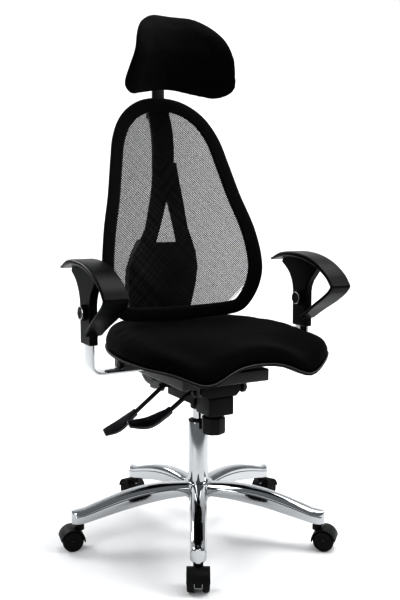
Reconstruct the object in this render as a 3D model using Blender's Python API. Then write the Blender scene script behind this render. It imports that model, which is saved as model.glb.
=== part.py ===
"""High-back swivel office chair: five-star base, gas lift, synchro mechanism, saddle seat,
mesh back with headrest and height-adjustable loop arms.

The chair faces -Y with +Z up and the floor at z = 0. Lengths are in metres.
Every point below is measured from the swivel axis, and one parent empty carries the chair
so that the origin is the middle of its footprint. "right" is the sitter's right, at -X.
"""

import math

import bmesh
import bpy
from mathutils import Matrix, Vector

# ---------------------------------------------------------------- general fits
GAP = 0.0003              # between pieces that touch
RUNNING = 0.0004          # radial clearance of a pin in its bore
SWIVEL_AXIS = Vector((0.010, -0.016, 0.0))   # from the middle of the footprint

# ---------------------------------------------------------------- base and castors
LEG_COUNT = 5
FIRST_LEG_DEG = -29.0     # from straight ahead, towards +X
BASE_RADIUS = 0.321       # to the round end of a leg
HUB_RADIUS = 0.036
HUB_TOP = 0.137
HUB_BOTTOM = 0.098
LEG_TIP_WIDTH = 0.036
LEG_HUB_WIDTH = 0.042
LEG_HUB_BOTTOM = 0.105
LEG_TIP_HEIGHT = 0.032
LEG_ARCH = 0.016          # rise of a leg's top over a straight line
LEG_ARCH_BELOW = 0.007    # the same for its underside
CASTOR_RADIUS = BASE_RADIUS - LEG_TIP_WIDTH / 2 - 0.001    # of the circle of stems
WHEEL_RADIUS = 0.025
CASTOR_TRAIL = WHEEL_RADIUS - 0.006
WHEEL_WIDTH = 0.017
HOOD_WEB = 0.016          # between the twin wheels
HOOD_WALL = 0.0026
AXLE_RADIUS = 0.003
STEM_RADIUS = 0.005
STEM_BOTTOM = WHEEL_RADIUS + 0.0155
HOOD_NECK_TOP = 2 * WHEEL_RADIUS + 0.0097
LEG_TIP_BOTTOM = HOOD_NECK_TOP + 0.0023
LEG_TIP_TOP = LEG_TIP_BOTTOM + LEG_TIP_HEIGHT
STEM_TOP = LEG_TIP_BOTTOM + 0.024

# ---------------------------------------------------------------- gas lift
COLUMN_RADIUS = 0.025
COLUMN_WALL = 0.0016
COLUMN_BOTTOM = 0.086
COLUMN_TOP = 0.292
BUSH_FLANGE = 0.003
BUSH_DEPTH = 0.060
CYLINDER_RADIUS = 0.014
CYLINDER_BOTTOM = 0.126
CYLINDER_TOP = 0.372
ROD_RADIUS = 0.005
PISTON_TOP = 0.270
BEARING_HEIGHT = 0.005

# ---------------------------------------------------------------- mechanism
HOUSING_TOP = 0.403
HOUSING_BOTTOM = 0.345
HOUSING_FRONT = -0.118
HOUSING_REAR = 0.100
HOUSING_HALF_WIDTH = 0.058
HOUSING_FLOOR_HALF_WIDTH = 0.038
HOUSING_WALL = 0.005
SOCKET_BOTTOM = 0.324
SOCKET_WALL = 0.006
BLOCK_HALF_WIDTH = 0.034
BLOCK_FRONT = -0.116
BLOCK_REAR = -0.048
BLOCK_BOTTOM = 0.328
BLOCK_TOP = 0.374
KNOB_AXIS_Y = -0.076
KNOB_RADIUS = 0.0295
KNOB_BOTTOM = 0.277
KNOB_TOP = 0.320
SCREW_RADIUS = 0.006
SCREW_TOP = 0.366
BLOCK_FLOOR = 0.005
SPRING_RADIUS = 0.0102            # to the middle of the wire
SPRING_WIRE = 0.0016              # radius of the wire
PIVOT_RADIUS = 0.006
SEAT_PIVOT = (-0.105, 0.390)      # y, z of the front axle
BACK_PIVOT = (0.074, 0.372)       # y, z of the rear axle
LEVER_RADIUS = 0.0055
GRIP_NECK = 0.018
GRIP_WIDTH = 0.033
GRIP_TIP = 0.007
HEIGHT_LEVER_Y = -0.082
LEVER_ROOT_Z = 0.388
TILT_LEVER_Y = 0.040
LEVER_ROOT_X = -(HOUSING_HALF_WIDTH - HOUSING_WALL / 2)

# ---------------------------------------------------------------- seat
TRAY_HALF_WIDTH = 0.117
TRAY_FRONT = -0.140
TRAY_REAR = 0.150
TRAY_BOTTOM = 0.407
TRAY_TOP = 0.436
TRAY_WALL = 0.004
RISER_HALF_WIDTH = 0.092
ARM_SOCKET_REACH = 0.222          # outer end of the block that clamps an arm bar
SEAT_HALF_WIDTH = 0.243
SEAT_REAR = 0.222
SEAT_DEPTH = 0.507
SEAT_BASE = 0.476                 # underside of the seat pan
SEAT_PAN = 0.006
SEAT_TOP = 0.534
SEAT_DISH = 0.010
SEAT_FALL = 0.016                 # the cushion's top is this much lower at its front edge
THIGH_DROP = 0.032
THIGH_X = 0.134
THIGH_SPREAD = 0.058
PIPING = 0.0025                   # the pan's edge stands out this far past the cushion

# ---------------------------------------------------------------- arms
ARM_X = SEAT_HALF_WIDTH + 0.053
ARM_Y = -0.024
BAR_WIDTH = 0.050
BAR_THICKNESS = 0.006
BAR_LEVEL = 0.446                 # centre of the flat bar under the seat
BAR_BEND = 0.020
BAR_INNER_X = 0.126
BAR_TOP = 0.640
SLEEVE_WIDTH = 0.058
SLEEVE_THICKNESS = 0.020
SLEEVE_BOTTOM = 0.513
ARM_TOP = 0.705
ARM_PAD_WIDTH = 0.060
ARM_PAD_THICKNESS = 0.012
ARM_KNOB_Z = 0.586
ARM_KNOB_RADIUS = 0.019
ARM_KNOB_DEPTH = 0.010
CLAMP_KNOB_RADIUS = 0.010
CLAMP_KNOB_DEPTH = 0.008
CLAMP_KNOB_LEVEL = 0.461
CLAMP_STUD = 0.020                # length
STUD_RADIUS = 0.004

# ---------------------------------------------------------------- back
BACK_TOP = 1.100
BACK_BOTTOM = 0.532
BACK_HALF_WIDTH = 0.226
BACK_WRAP = 0.045                 # how far the widest edge stands in front of the middle
FRAME_BORDER = 0.034
FRAME_THICKNESS = 0.016
MESH_THICKNESS = 0.0024
SPINE_THICKNESS = 0.010
SPINE_WIDTH = 0.059
SPINE_TOP = 1.084
LUMBAR_TOP = 0.934
SPINE_BOTTOM = 0.872
PLATE_THICKNESS = 0.006
PAD_RIM_WALL = 0.004
PAD_RIM_DEPTH = 0.024             # the lumbar pad's side walls stand back this far
PLATE_ROOM = 0.0022               # the upright slides this far behind the plate
CARRIER_WIDTH = 0.060
CARRIER_THICKNESS = 0.020
YOKE_FRONT = HOUSING_REAR + 0.010    # clears the housing's rear when the back leans
YOKE_DEPTH = 0.026

# ---------------------------------------------------------------- headrest
HEAD_TOP = 1.295
HEAD_HEIGHT = 0.201
HEAD_HALF_WIDTH = 0.153
HEAD_WRAP = 0.078
HEAD_THICKNESS = 0.036
HEAD_SHELL = 0.006
HEAD_BAR_WIDTH = 0.034
HEAD_BAR_THICKNESS = 0.008
HEAD_BAR_Y = 0.217
HEAD_BAR_BOTTOM = 0.900
HEAD_PIVOT = (0.0, HEAD_BAR_Y, 1.165)
HEAD_LUG_INNER = 0.019
HEAD_PIN_RADIUS = 0.004

ROUND = 16                        # sides of a small round piece
WIDE_ROUND = 28

# Half outlines, down the +X side: shares of the half-width and of the way from the top or rear edge
SEAT_SHAPE = [(0.0, 0.0), (0.412, 0.028), (0.691, 0.122), (0.877, 0.290), (0.979, 0.497), (1.0, 0.694),
              (0.914, 0.888), (0.551, 1.0), (0.0, 0.982)]
BACK_SHAPE = [(0.0, 0.0), (0.274, 0.018), (0.509, 0.079), (0.664, 0.176), (0.748, 0.299), (0.832, 0.440),
              (0.942, 0.590), (1.0, 0.739), (0.973, 0.836), (0.876, 0.924), (0.743, 0.975), (0.487, 0.993),
              (0.0, 1.0)]
HEAD_SHAPE = [(0.0, 0.0), (0.327, 0.010), (0.536, 0.075), (0.693, 0.174), (0.804, 0.313), (0.882, 0.512),
              (0.967, 0.731), (1.0, 0.861), (0.935, 0.955), (0.752, 1.0), (0.556, 0.970), (0.0, 0.900)]

# Depth against height, front faces: the net, the plate and upright behind it, and the head cushion
BACK_PROFILE = [(0.50, 0.106), (0.60, 0.103), (0.683, 0.108), (0.77, 0.122), (0.896, 0.156),
                (1.003, 0.185), (1.06, 0.197), (1.13, 0.209)]
SPINE_PROFILE = [(0.50, 0.214), (0.552, 0.205), (0.610, 0.194), (0.658, 0.1845), (0.728, 0.171),
                 (0.800, 0.167), (0.8635, 0.169), (0.934, 0.179), (1.00, 0.1885), (1.04, 0.200),
                 (1.064, 0.2125), (1.10, 0.213)]
HEAD_PROFILE = [(1.08, 0.150), (1.115, 0.139), (1.145, 0.123), (1.19, 0.101), (1.23, 0.105),
                (1.27, 0.118), (1.31, 0.127)]

FINISHES = {
    "chrome": ((0.78, 0.79, 0.80), 1.0, 0.08),
    "zinc_steel": ((0.55, 0.56, 0.57), 1.0, 0.30),
    "black_nylon": ((0.020, 0.020, 0.022), 0.0, 0.48),
    "grey_nylon": ((0.060, 0.060, 0.064), 0.0, 0.42),
    "black_steel": ((0.025, 0.025, 0.026), 0.4, 0.42),
    "castor_tread": ((0.030, 0.030, 0.032), 0.0, 0.60),
    "seat_cloth": ((0.012, 0.012, 0.013), 0.0, 0.92),
    "head_cloth": ((0.012, 0.012, 0.013), 0.0, 0.92),
    "back_net": ((0.018, 0.018, 0.019), 0.0, 0.80),
}


# ---------------------------------------------------------------- placing
def clear_scene():
    for item in list(bpy.data.objects):
        bpy.data.objects.remove(item, do_unlink=True)


def finish(name):
    """One Principled material per finish, made the first time it is asked for."""
    if name in bpy.data.materials:
        return bpy.data.materials[name]
    colour, metallic, roughness = FINISHES[name]
    material = bpy.data.materials.new(name)
    material.use_nodes = True
    shader = material.node_tree.nodes["Principled BSDF"]
    shader.inputs["Base Color"].default_value = (*colour, 1.0)
    shader.inputs["Metallic"].default_value = metallic
    shader.inputs["Roughness"].default_value = roughness
    return material


def add_empty(name, place, parent=None):
    empty = bpy.data.objects.new(name, None)
    bpy.context.scene.collection.objects.link(empty)
    empty.location = place
    empty.parent = parent
    return empty


def add_piece(name, shape, finish_name, parent, pivot=(0.0, 0.0, 0.0)):
    """Make an object from a bmesh drawn in the chair's coordinates, with its origin at pivot."""
    bmesh.ops.translate(shape, verts=shape.verts, vec=-Vector(pivot))
    bmesh.ops.recalc_face_normals(shape, faces=shape.faces)
    mesh = bpy.data.meshes.new(name)
    shape.to_mesh(mesh)
    shape.free()
    mesh.shade_smooth()
    mesh.set_sharp_from_angle(angle=math.radians(35))
    mesh.materials.append(finish(finish_name))
    piece = bpy.data.objects.new(name, mesh)
    bpy.context.scene.collection.objects.link(piece)
    piece.location = pivot
    piece.parent = parent
    return piece


def combine(shape, other, operation):
    """Boolean two bmeshes and give back the result as a bmesh."""
    pair = []
    for index, bm in enumerate((shape, other)):
        bmesh.ops.recalc_face_normals(bm, faces=bm.faces)
        mesh = bpy.data.meshes.new("boolean_%d" % index)
        bm.to_mesh(mesh)
        bm.free()
        item = bpy.data.objects.new(mesh.name, mesh)
        bpy.context.scene.collection.objects.link(item)
        pair.append(item)
    body, tool = pair
    modifier = body.modifiers.new("combine", "BOOLEAN")
    modifier.solver = "EXACT"
    modifier.operation = operation
    modifier.object = tool
    evaluated = body.evaluated_get(bpy.context.evaluated_depsgraph_get())
    result = bmesh.new()
    result.from_mesh(evaluated.to_mesh())
    evaluated.to_mesh_clear()
    for item in pair:
        mesh = item.data
        bpy.data.objects.remove(item, do_unlink=True)
        bpy.data.meshes.remove(mesh)
    bmesh.ops.dissolve_degenerate(result, dist=1e-6, edges=result.edges)
    bmesh.ops.triangulate(result, faces=result.faces)
    return result


def join(shape, other):
    return combine(shape, other, "UNION")


def cut(shape, other):
    return combine(shape, other, "DIFFERENCE")


# ---------------------------------------------------------------- curves
def smooth_curve(points, steps):
    """Catmull-Rom curve through points, with the given steps in each span."""
    points = [Vector(point) for point in points]
    first = points[0] * 2 - points[1]
    last = points[-1] * 2 - points[-2]
    padded = [first] + points + [last]
    curve = []
    for index in range(1, len(padded) - 2):
        before, start, end, after = padded[index - 1:index + 3]
        for step in range(steps):
            t = step / steps
            curve.append(0.5 * (2 * start + (end - before) * t
                                + (2 * before - 5 * start + 4 * end - after) * t ** 2
                                + (3 * start - before - 3 * end + after) * t ** 3))
    curve.append(points[-1])
    return curve


def lookup(points, key):
    """Height of a smooth curve over sorted (key, value) points."""
    curve = smooth_curve([(a, b, 0.0) for a, b in points], 8)
    key = min(max(key, curve[0].x), curve[-1].x)
    for low, high in zip(curve, curve[1:]):
        if key <= high.x:
            share = (key - low.x) / max(high.x - low.x, 1e-9)
            return low.y + share * (high.y - low.y)
    return curve[-1].y


def mirrored_outline(shape, half_width, start, length, steps):
    """Closed outline from a half outline in shares, which runs from start down by length."""
    half = [(across * half_width, start - down * length) for across, down in shape]
    lead = (-half[1][0], half[1][1])
    tail = (-half[-2][0], half[-2][1])
    curve = smooth_curve([(a, b, 0.0) for a, b in [lead] + half + [tail]], steps)
    side = [Vector((p.x, p.y)) for p in curve[steps:-steps]]
    return side + [Vector((-p.x, p.y)) for p in reversed(side[1:-1])]


def inset(outline, distance):
    """Move a closed outline inwards, square to its edge."""
    count = len(outline)
    centre = sum(outline, Vector((0.0, 0.0))) / count
    moved = []
    for index, point in enumerate(outline):
        along = (outline[(index + 1) % count] - outline[index - 1]).normalized()
        normal = Vector((along.y, -along.x))
        if normal.dot(centre - point) < 0:
            normal = -normal
        moved.append(point + normal * distance)
    return moved


def smooth_step(low, high, value):
    t = min(max((value - low) / (high - low), 0.0), 1.0)
    return t * t * (3 - 2 * t)


# ---------------------------------------------------------------- solids
def box(low, high, bevel=0.0):
    shape = bmesh.new()
    bmesh.ops.create_cube(shape, size=1.0)
    size = [b - a for a, b in zip(low, high)]
    middle = [(a + b) / 2 for a, b in zip(low, high)]
    bmesh.ops.scale(shape, vec=size, verts=shape.verts)
    bmesh.ops.translate(shape, vec=middle, verts=shape.verts)
    if bevel > 0:
        bmesh.ops.bevel(shape, geom=shape.edges[:], offset=bevel, segments=1, affect="EDGES")
    return shape


def turned(profile, sides, closed=False):
    """Turn (radius, height) points about Z. A radius of 0 is a point on the axis."""
    shape = bmesh.new()
    rings = []
    for radius, height in profile:
        if radius == 0:
            rings.append([shape.verts.new((0, 0, height))])
            continue
        ring = []
        for index in range(sides):
            angle = math.tau * index / sides
            ring.append(shape.verts.new((radius * math.cos(angle), radius * math.sin(angle), height)))
        rings.append(ring)
    pairs = list(zip(rings, rings[1:]))
    if closed:
        pairs.append((rings[-1], rings[0]))
    for lower, upper in pairs:
        if len(lower) == 1 and len(upper) == 1:
            continue
        for index in range(sides):
            corners = [lower[index % len(lower)], lower[(index + 1) % len(lower)],
                       upper[(index + 1) % len(upper)], upper[index % len(upper)]]
            shape.faces.new(list(dict.fromkeys(corners)))
    return shape


def pin(radius, start, end, sides=ROUND, chamfer=0.0006):
    """Round pin between two points, with square ends where chamfer is 0."""
    start, end = Vector(start), Vector(end)
    length = (end - start).length
    profile = [(radius, 0), (radius, length)]
    if chamfer > 0:
        profile = [(radius - chamfer, 0), (radius, chamfer)]
        profile += [(radius, length - chamfer), (radius - chamfer, length)]
    shape = turned([(0, 0)] + profile + [(0, length)], sides)
    turn = Vector((0, 0, 1)).rotation_difference(end - start).to_matrix().to_4x4()
    bmesh.ops.transform(shape, matrix=Matrix.Translation(start) @ turn, verts=shape.verts)
    return shape


def skin(shape, first, second):
    """Join two rings of vertices with triangles."""
    count = len(first)
    for index in range(count):
        following = (index + 1) % count
        shape.faces.new((first[index], first[following], second[following]))
        shape.faces.new((first[index], second[following], second[index]))


def loft(rings, closed=False):
    """Skin a row of rings with the same number of points, with flat ends unless closed."""
    shape = bmesh.new()
    made = [[shape.verts.new(point) for point in ring] for ring in rings]
    for first, second in zip(made, made[1:]):
        skin(shape, first, second)
    if closed:
        skin(shape, made[-1], made[0])
    else:
        shape.faces.new(list(reversed(made[0])))
        shape.faces.new(made[-1])
    return shape


def domed(rings):
    """Skin a row of rings and close both ends with a fan to the middle of the end ring."""
    shape = bmesh.new()
    made = [[shape.verts.new(point) for point in ring] for ring in rings]
    for first, second in zip(made, made[1:]):
        skin(shape, first, second)
    for ring, points in ((made[0], rings[0]), (made[-1], rings[-1])):
        middle = shape.verts.new(sum((Vector(p) for p in points), Vector()) / len(points))
        for index in range(len(ring)):
            shape.faces.new((ring[index], ring[(index + 1) % len(ring)], middle))
    return shape


def ribbon(path, side, widths, thicknesses, corner=0.25):
    """Sweep a flat bar along a path. side is its width direction, the same all the way."""
    side = Vector(side).normalized()
    rings = []
    for index, point in enumerate(path):
        before = path[max(index - 1, 0)]
        after = path[min(index + 1, len(path) - 1)]
        along = (after - before).normalized()
        up = along.cross(side).normalized()
        half_width = widths[index] / 2
        half_thickness = thicknesses[index] / 2
        chamfer = corner * thicknesses[index]
        ring = []
        for x_sign, z_sign, first_is_side in ((1, -1, False), (1, 1, True), (-1, 1, False), (-1, -1, True)):
            flat = (half_width - chamfer, half_thickness)
            edge = (half_width, half_thickness - chamfer)
            for across, high in ((edge, flat) if first_is_side else (flat, edge)):
                ring.append(point + side * across * x_sign + up * high * z_sign)
        rings.append(ring)
    return loft(rings)


def prism(outline, low, high, axis):
    """Extrude a closed outline of (a, b) pairs along an axis from low to high."""
    shape = bmesh.new()
    order = {"X": lambda a, b, h: (h, a, b), "Y": lambda a, b, h: (a, h, b), "Z": lambda a, b, h: (a, b, h)}
    place = order[axis]
    ends = [[shape.verts.new(place(a, b, height)) for a, b in outline] for height in (low, high)]
    count = len(outline)
    for index in range(count):
        following = (index + 1) % count
        shape.faces.new((ends[0][index], ends[0][following], ends[1][following], ends[1][index]))
    shape.faces.new(ends[0])
    shape.faces.new(ends[1])
    return shape


def arc(centre, radius, start_deg, end_deg, steps):
    points = []
    for step in range(steps + 1):
        angle = math.radians(start_deg + (end_deg - start_deg) * step / steps)
        points.append((centre[0] + radius * math.cos(angle), centre[1] + radius * math.sin(angle)))
    return points


def turn_about_z(shape, angle_deg):
    bmesh.ops.rotate(shape, cent=(0, 0, 0), matrix=Matrix.Rotation(math.radians(angle_deg), 3, "Z"),
                     verts=shape.verts)
    return shape


def leg_angle(index):
    """Turn that takes -Y to the direction of a leg."""
    return FIRST_LEG_DEG + index * 360.0 / LEG_COUNT


# ---------------------------------------------------------------- base
def leg_section(reach):
    """Half-width, underside and top of a leg at a distance from the swivel axis."""
    share = smooth_step(0.0, 1.0, (reach - HUB_RADIUS) / (BASE_RADIUS - HUB_RADIUS)) * 0.35
    share += 0.65 * (reach - HUB_RADIUS) / (BASE_RADIUS - HUB_RADIUS)
    share = min(max(share, 0.0), 1.0)
    half = (LEG_HUB_WIDTH + (LEG_TIP_WIDTH - LEG_HUB_WIDTH) * share) / 2
    bottom = LEG_HUB_BOTTOM + (LEG_TIP_BOTTOM - LEG_HUB_BOTTOM) * share
    top = HUB_TOP + (LEG_TIP_TOP - HUB_TOP) * share
    flat_start = CASTOR_RADIUS - 0.012
    along = min(max((reach - HUB_RADIUS) / (flat_start - HUB_RADIUS), 0.0), 1.0)
    rise = math.sin(math.pi * along)
    return half, bottom + LEG_ARCH_BELOW * rise, top + LEG_ARCH * rise


def base_leg():
    tip_centre = BASE_RADIUS - LEG_TIP_WIDTH / 2
    reaches = [0.012 + (tip_centre - 0.012) * step / 7 for step in range(8)]
    reaches += [tip_centre + LEG_TIP_WIDTH / 2 * math.sin(math.radians(a)) for a in (25, 50, 70, 84)]
    rings = []
    for reach in reaches:
        half, bottom, top = leg_section(reach)
        if reach > tip_centre:
            half = math.sqrt(max((LEG_TIP_WIDTH / 2) ** 2 - (reach - tip_centre) ** 2, 0.0))
        height = top - bottom
        side = []
        for across, up in ((1.0, 0.0), (1.0, 0.55), (0.93, 0.80), (0.70, 0.94), (0.36, 1.0)):
            side.append((half * across, bottom + height * up))
        section = side + [(-x, z) for x, z in reversed(side)]
        rings.append([Vector((x, -reach, z)) for x, z in section])
    return loft(rings)


def make_base(parent):
    crown = HUB_TOP + 0.0006
    star = turned([(0, HUB_BOTTOM), (HUB_RADIUS - 0.004, HUB_BOTTOM), (HUB_RADIUS, HUB_BOTTOM + 0.006),
                   (HUB_RADIUS, HUB_TOP - 0.003), (HUB_RADIUS - 0.003, crown), (0, crown)], WIDE_ROUND)
    for index in range(LEG_COUNT):
        star = join(star, turn_about_z(base_leg(), leg_angle(index)))
    bore = COLUMN_RADIUS + GAP
    star = cut(star, turned([(0, HUB_BOTTOM - 0.01), (bore, HUB_BOTTOM - 0.01), (bore, HUB_TOP + 0.01),
                             (0, HUB_TOP + 0.01)], WIDE_ROUND))
    for index in range(LEG_COUNT):
        reach = Vector((0, -CASTOR_RADIUS, 0))
        socket = pin(STEM_RADIUS + GAP, reach + Vector((0, 0, LEG_TIP_BOTTOM - 0.01)),
                     reach + Vector((0, 0, STEM_TOP + GAP)), chamfer=0.0)
        star = cut(star, turn_about_z(socket, leg_angle(index)))
    add_piece("base_star", star, "chrome", parent)


def make_column(parent):
    inner = COLUMN_RADIUS - COLUMN_WALL
    floor = 0.004
    tube = [(ROD_RADIUS + 0.001, COLUMN_BOTTOM), (COLUMN_RADIUS - 0.001, COLUMN_BOTTOM),
            (COLUMN_RADIUS, COLUMN_BOTTOM + 0.001), (COLUMN_RADIUS, COLUMN_TOP), (inner, COLUMN_TOP),
            (inner, COLUMN_BOTTOM + floor), (ROD_RADIUS + 0.001, COLUMN_BOTTOM + floor)]
    add_piece("column_tube", turned(tube, WIDE_ROUND, closed=True), "chrome", parent)
    bore = CYLINDER_RADIUS + RUNNING
    flange = COLUMN_TOP + GAP
    foot = COLUMN_TOP - BUSH_DEPTH
    bush = [(bore, foot), (inner - GAP, foot), (inner - GAP, flange), (COLUMN_RADIUS, flange),
            (COLUMN_RADIUS - 0.0015, flange + BUSH_FLANGE), (bore, flange + BUSH_FLANGE)]
    add_piece("column_bush", turned(bush, WIDE_ROUND, closed=True), "black_nylon", parent)
    bearing_base = COLUMN_BOTTOM + floor + GAP
    bearing_top = bearing_base + BEARING_HEIGHT
    race_outer = 0.015
    race = [(ROD_RADIUS + 0.0015, bearing_base), (race_outer, bearing_base), (race_outer, bearing_top),
            (ROD_RADIUS + 0.0015, bearing_top)]
    add_piece("thrust_bearing", turned(race, ROUND, closed=True), "zinc_steel", parent)
    return bearing_top + GAP


def make_rod(parent, seat_level):
    collar = 0.013
    head = CYLINDER_RADIUS - 0.003 - RUNNING
    rod = [(0, COLUMN_BOTTOM), (ROD_RADIUS, COLUMN_BOTTOM), (ROD_RADIUS, seat_level), (collar, seat_level),
           (collar, seat_level + 0.003), (ROD_RADIUS, seat_level + 0.003), (ROD_RADIUS, PISTON_TOP - 0.008),
           (head, PISTON_TOP - 0.008), (head, PISTON_TOP), (0, PISTON_TOP)]
    add_piece("piston_rod", turned(rod, ROUND), "zinc_steel", parent)


def make_cylinder(parent):
    neck = ROD_RADIUS + RUNNING
    bore = CYLINDER_RADIUS - 0.003
    chamber_top = PISTON_TOP + 0.034
    outline = [(neck, CYLINDER_BOTTOM), (CYLINDER_RADIUS, CYLINDER_BOTTOM),
               (CYLINDER_RADIUS, CYLINDER_TOP - 0.002), (CYLINDER_RADIUS - 0.002, CYLINDER_TOP),
               (0, CYLINDER_TOP)]
    hollow = [(0, chamber_top), (bore, chamber_top), (bore, CYLINDER_BOTTOM + 0.010),
              (neck, CYLINDER_BOTTOM + 0.010)]
    add_piece("gas_cylinder", turned(outline + hollow, ROUND, closed=True), "chrome", parent)


# ---------------------------------------------------------------- castors
def castor_hood():
    """Hood drawn with its stem on the Z axis and its wheels trailing towards -Y."""
    centre = (-CASTOR_TRAIL, WHEEL_RADIUS)
    cavity = WHEEL_RADIUS + 0.0016
    outer = cavity + HOOD_WALL
    full_width = HOOD_WEB + 2 * (WHEEL_WIDTH + GAP * 2)
    outline = arc(centre, outer, -6, 172, 8)
    web_foot = WHEEL_RADIUS / 2
    outline += [(centre[0] - 0.012, web_foot + 0.0005), (centre[0] + 0.010, web_foot - 0.0015)]
    hood = prism(outline, -full_width / 2, full_width / 2, "X")
    neck_radius = 0.0105
    neck_foot = STEM_BOTTOM + 0.0045
    neck = turned([(0, neck_foot), (neck_radius, neck_foot), (neck_radius, HOOD_NECK_TOP),
                   (0, HOOD_NECK_TOP)], 10)
    hood = join(hood, neck)
    for side in (-1, 1):
        start = (side * HOOD_WEB / 2, -CASTOR_TRAIL, WHEEL_RADIUS)
        end = (side * full_width, -CASTOR_TRAIL, WHEEL_RADIUS)
        hood = cut(hood, pin(cavity, start, end, sides=16, chamfer=0.0))
    hood = cut(hood, pin(STEM_RADIUS + RUNNING, (0, 0, STEM_BOTTOM - GAP), (0, 0, HOOD_NECK_TOP + 0.01),
                         sides=10, chamfer=0.0))
    bore = HOOD_WEB / 2 + 0.01
    return cut(hood, pin(AXLE_RADIUS + GAP, (-bore, -CASTOR_TRAIL, WHEEL_RADIUS),
                         (bore, -CASTOR_TRAIL, WHEEL_RADIUS), sides=10, chamfer=0.0))


def castor_wheel():
    """Wheel about Z, with its outer face up."""
    bore = AXLE_RADIUS + RUNNING
    profile = [(bore, 0.0), (WHEEL_RADIUS, 0.001), (WHEEL_RADIUS, WHEEL_WIDTH - 0.006),
               (WHEEL_RADIUS - 0.003, WHEEL_WIDTH - 0.0012), (WHEEL_RADIUS - 0.006, WHEEL_WIDTH),
               (bore, WHEEL_WIDTH - 0.0010)]
    return turned(profile, 16, closed=True)


def make_castors(parent):
    collar = 0.009
    collar_foot = HOOD_NECK_TOP + GAP
    collar_top = LEG_TIP_BOTTOM - GAP
    stem_profile = [(0, STEM_BOTTOM), (STEM_RADIUS, STEM_BOTTOM), (STEM_RADIUS, collar_foot),
                    (collar, collar_foot), (collar, collar_top), (STEM_RADIUS, collar_top),
                    (STEM_RADIUS, STEM_TOP - 0.001), (STEM_RADIUS - 0.001, STEM_TOP), (0, STEM_TOP)]
    half_axle = HOOD_WEB / 2 + WHEEL_WIDTH - 0.0020
    for index in range(LEG_COUNT):
        number = index + 1
        turn = Matrix.Rotation(math.radians(leg_angle(index)), 4, "Z")
        mount = turn @ Vector((0, -CASTOR_RADIUS, 0))
        place = Matrix.Translation(mount) @ turn
        stem = turned(stem_profile, 10)
        bmesh.ops.transform(stem, matrix=place, verts=stem.verts)
        add_piece("castor_stem_%d" % number, stem, "zinc_steel", parent, mount)
        hood = castor_hood()
        bmesh.ops.transform(hood, matrix=place, verts=hood.verts)
        add_piece("castor_hood_%d" % number, hood, "black_nylon", parent, mount)
        axle_place = place @ Vector((0, -CASTOR_TRAIL, WHEEL_RADIUS))
        axle = pin(AXLE_RADIUS, (-half_axle, -CASTOR_TRAIL, WHEEL_RADIUS),
                   (half_axle, -CASTOR_TRAIL, WHEEL_RADIUS), sides=10)
        bmesh.ops.transform(axle, matrix=place, verts=axle.verts)
        add_piece("castor_axle_%d" % number, axle, "zinc_steel", parent, axle_place)
        for side, label in ((-1, "a"), (1, "b")):
            wheel = castor_wheel()
            tip = Matrix.Rotation(math.radians(90 * side), 4, "Y")
            shift = Matrix.Translation((side * (HOOD_WEB / 2 + GAP), -CASTOR_TRAIL, WHEEL_RADIUS))
            bmesh.ops.transform(wheel, matrix=place @ shift @ tip, verts=wheel.verts)
            add_piece("castor_wheel_%d%s" % (number, label), wheel, "castor_tread", parent, axle_place)


# ---------------------------------------------------------------- mechanism
def tapered_tub(shrink, top, bottom):
    """Rounded tub, narrower at its floor, smaller all round by shrink."""
    rings = []
    for height, half in ((bottom, HOUSING_FLOOR_HALF_WIDTH), (bottom + 0.022, HOUSING_FLOOR_HALF_WIDTH),
                         (HOUSING_TOP - 0.016, HOUSING_HALF_WIDTH), (top, HOUSING_HALF_WIDTH)):
        x = half - shrink
        front = HOUSING_FRONT + shrink
        rear = HOUSING_REAR - shrink
        corner = 0.008
        rings.append([Vector((a, b, height)) for a, b in (
            (x, front + corner), (x, rear - corner), (x - corner, rear), (corner - x, rear),
            (-x, rear - corner), (-x, front + corner), (corner - x, front), (x - corner, front))])
    return loft(rings)


def make_housing(parent):
    housing = tapered_tub(0.0, HOUSING_TOP, HOUSING_BOTTOM)
    socket_radius = CYLINDER_RADIUS + SOCKET_WALL
    socket_top = HOUSING_BOTTOM + 0.01
    housing = join(housing, turned([(0, SOCKET_BOTTOM), (socket_radius - 0.002, SOCKET_BOTTOM),
                                    (socket_radius, SOCKET_BOTTOM + 0.002), (socket_radius, socket_top),
                                    (0, socket_top)], ROUND))
    housing = cut(housing, tapered_tub(HOUSING_WALL, HOUSING_TOP + 0.01, HOUSING_BOTTOM + HOUSING_WALL))
    housing = cut(housing, box((-0.1, HOUSING_FRONT - 0.02, HOUSING_BOTTOM - 0.03),
                               (0.1, BLOCK_REAR + GAP, BLOCK_TOP + GAP)))
    housing = cut(housing, turned([(0, 0.30), (CYLINDER_RADIUS + GAP, 0.30),
                                   (CYLINDER_RADIUS + GAP, HOUSING_TOP), (0, HOUSING_TOP)], ROUND))
    for y, z in (SEAT_PIVOT, BACK_PIVOT):
        housing = cut(housing, pin(PIVOT_RADIUS + GAP, (-0.1, y, z), (0.1, y, z), chamfer=0.0))
    slot = LEVER_RADIUS + 0.002
    for y in (HEIGHT_LEVER_Y, TILT_LEVER_Y):
        housing = cut(housing, box((-0.1, y - slot, LEVER_ROOT_Z - 0.012),
                                   (-0.03, y + slot, LEVER_ROOT_Z + 0.012)))
    add_piece("mechanism_housing", housing, "black_nylon", parent)


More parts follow.
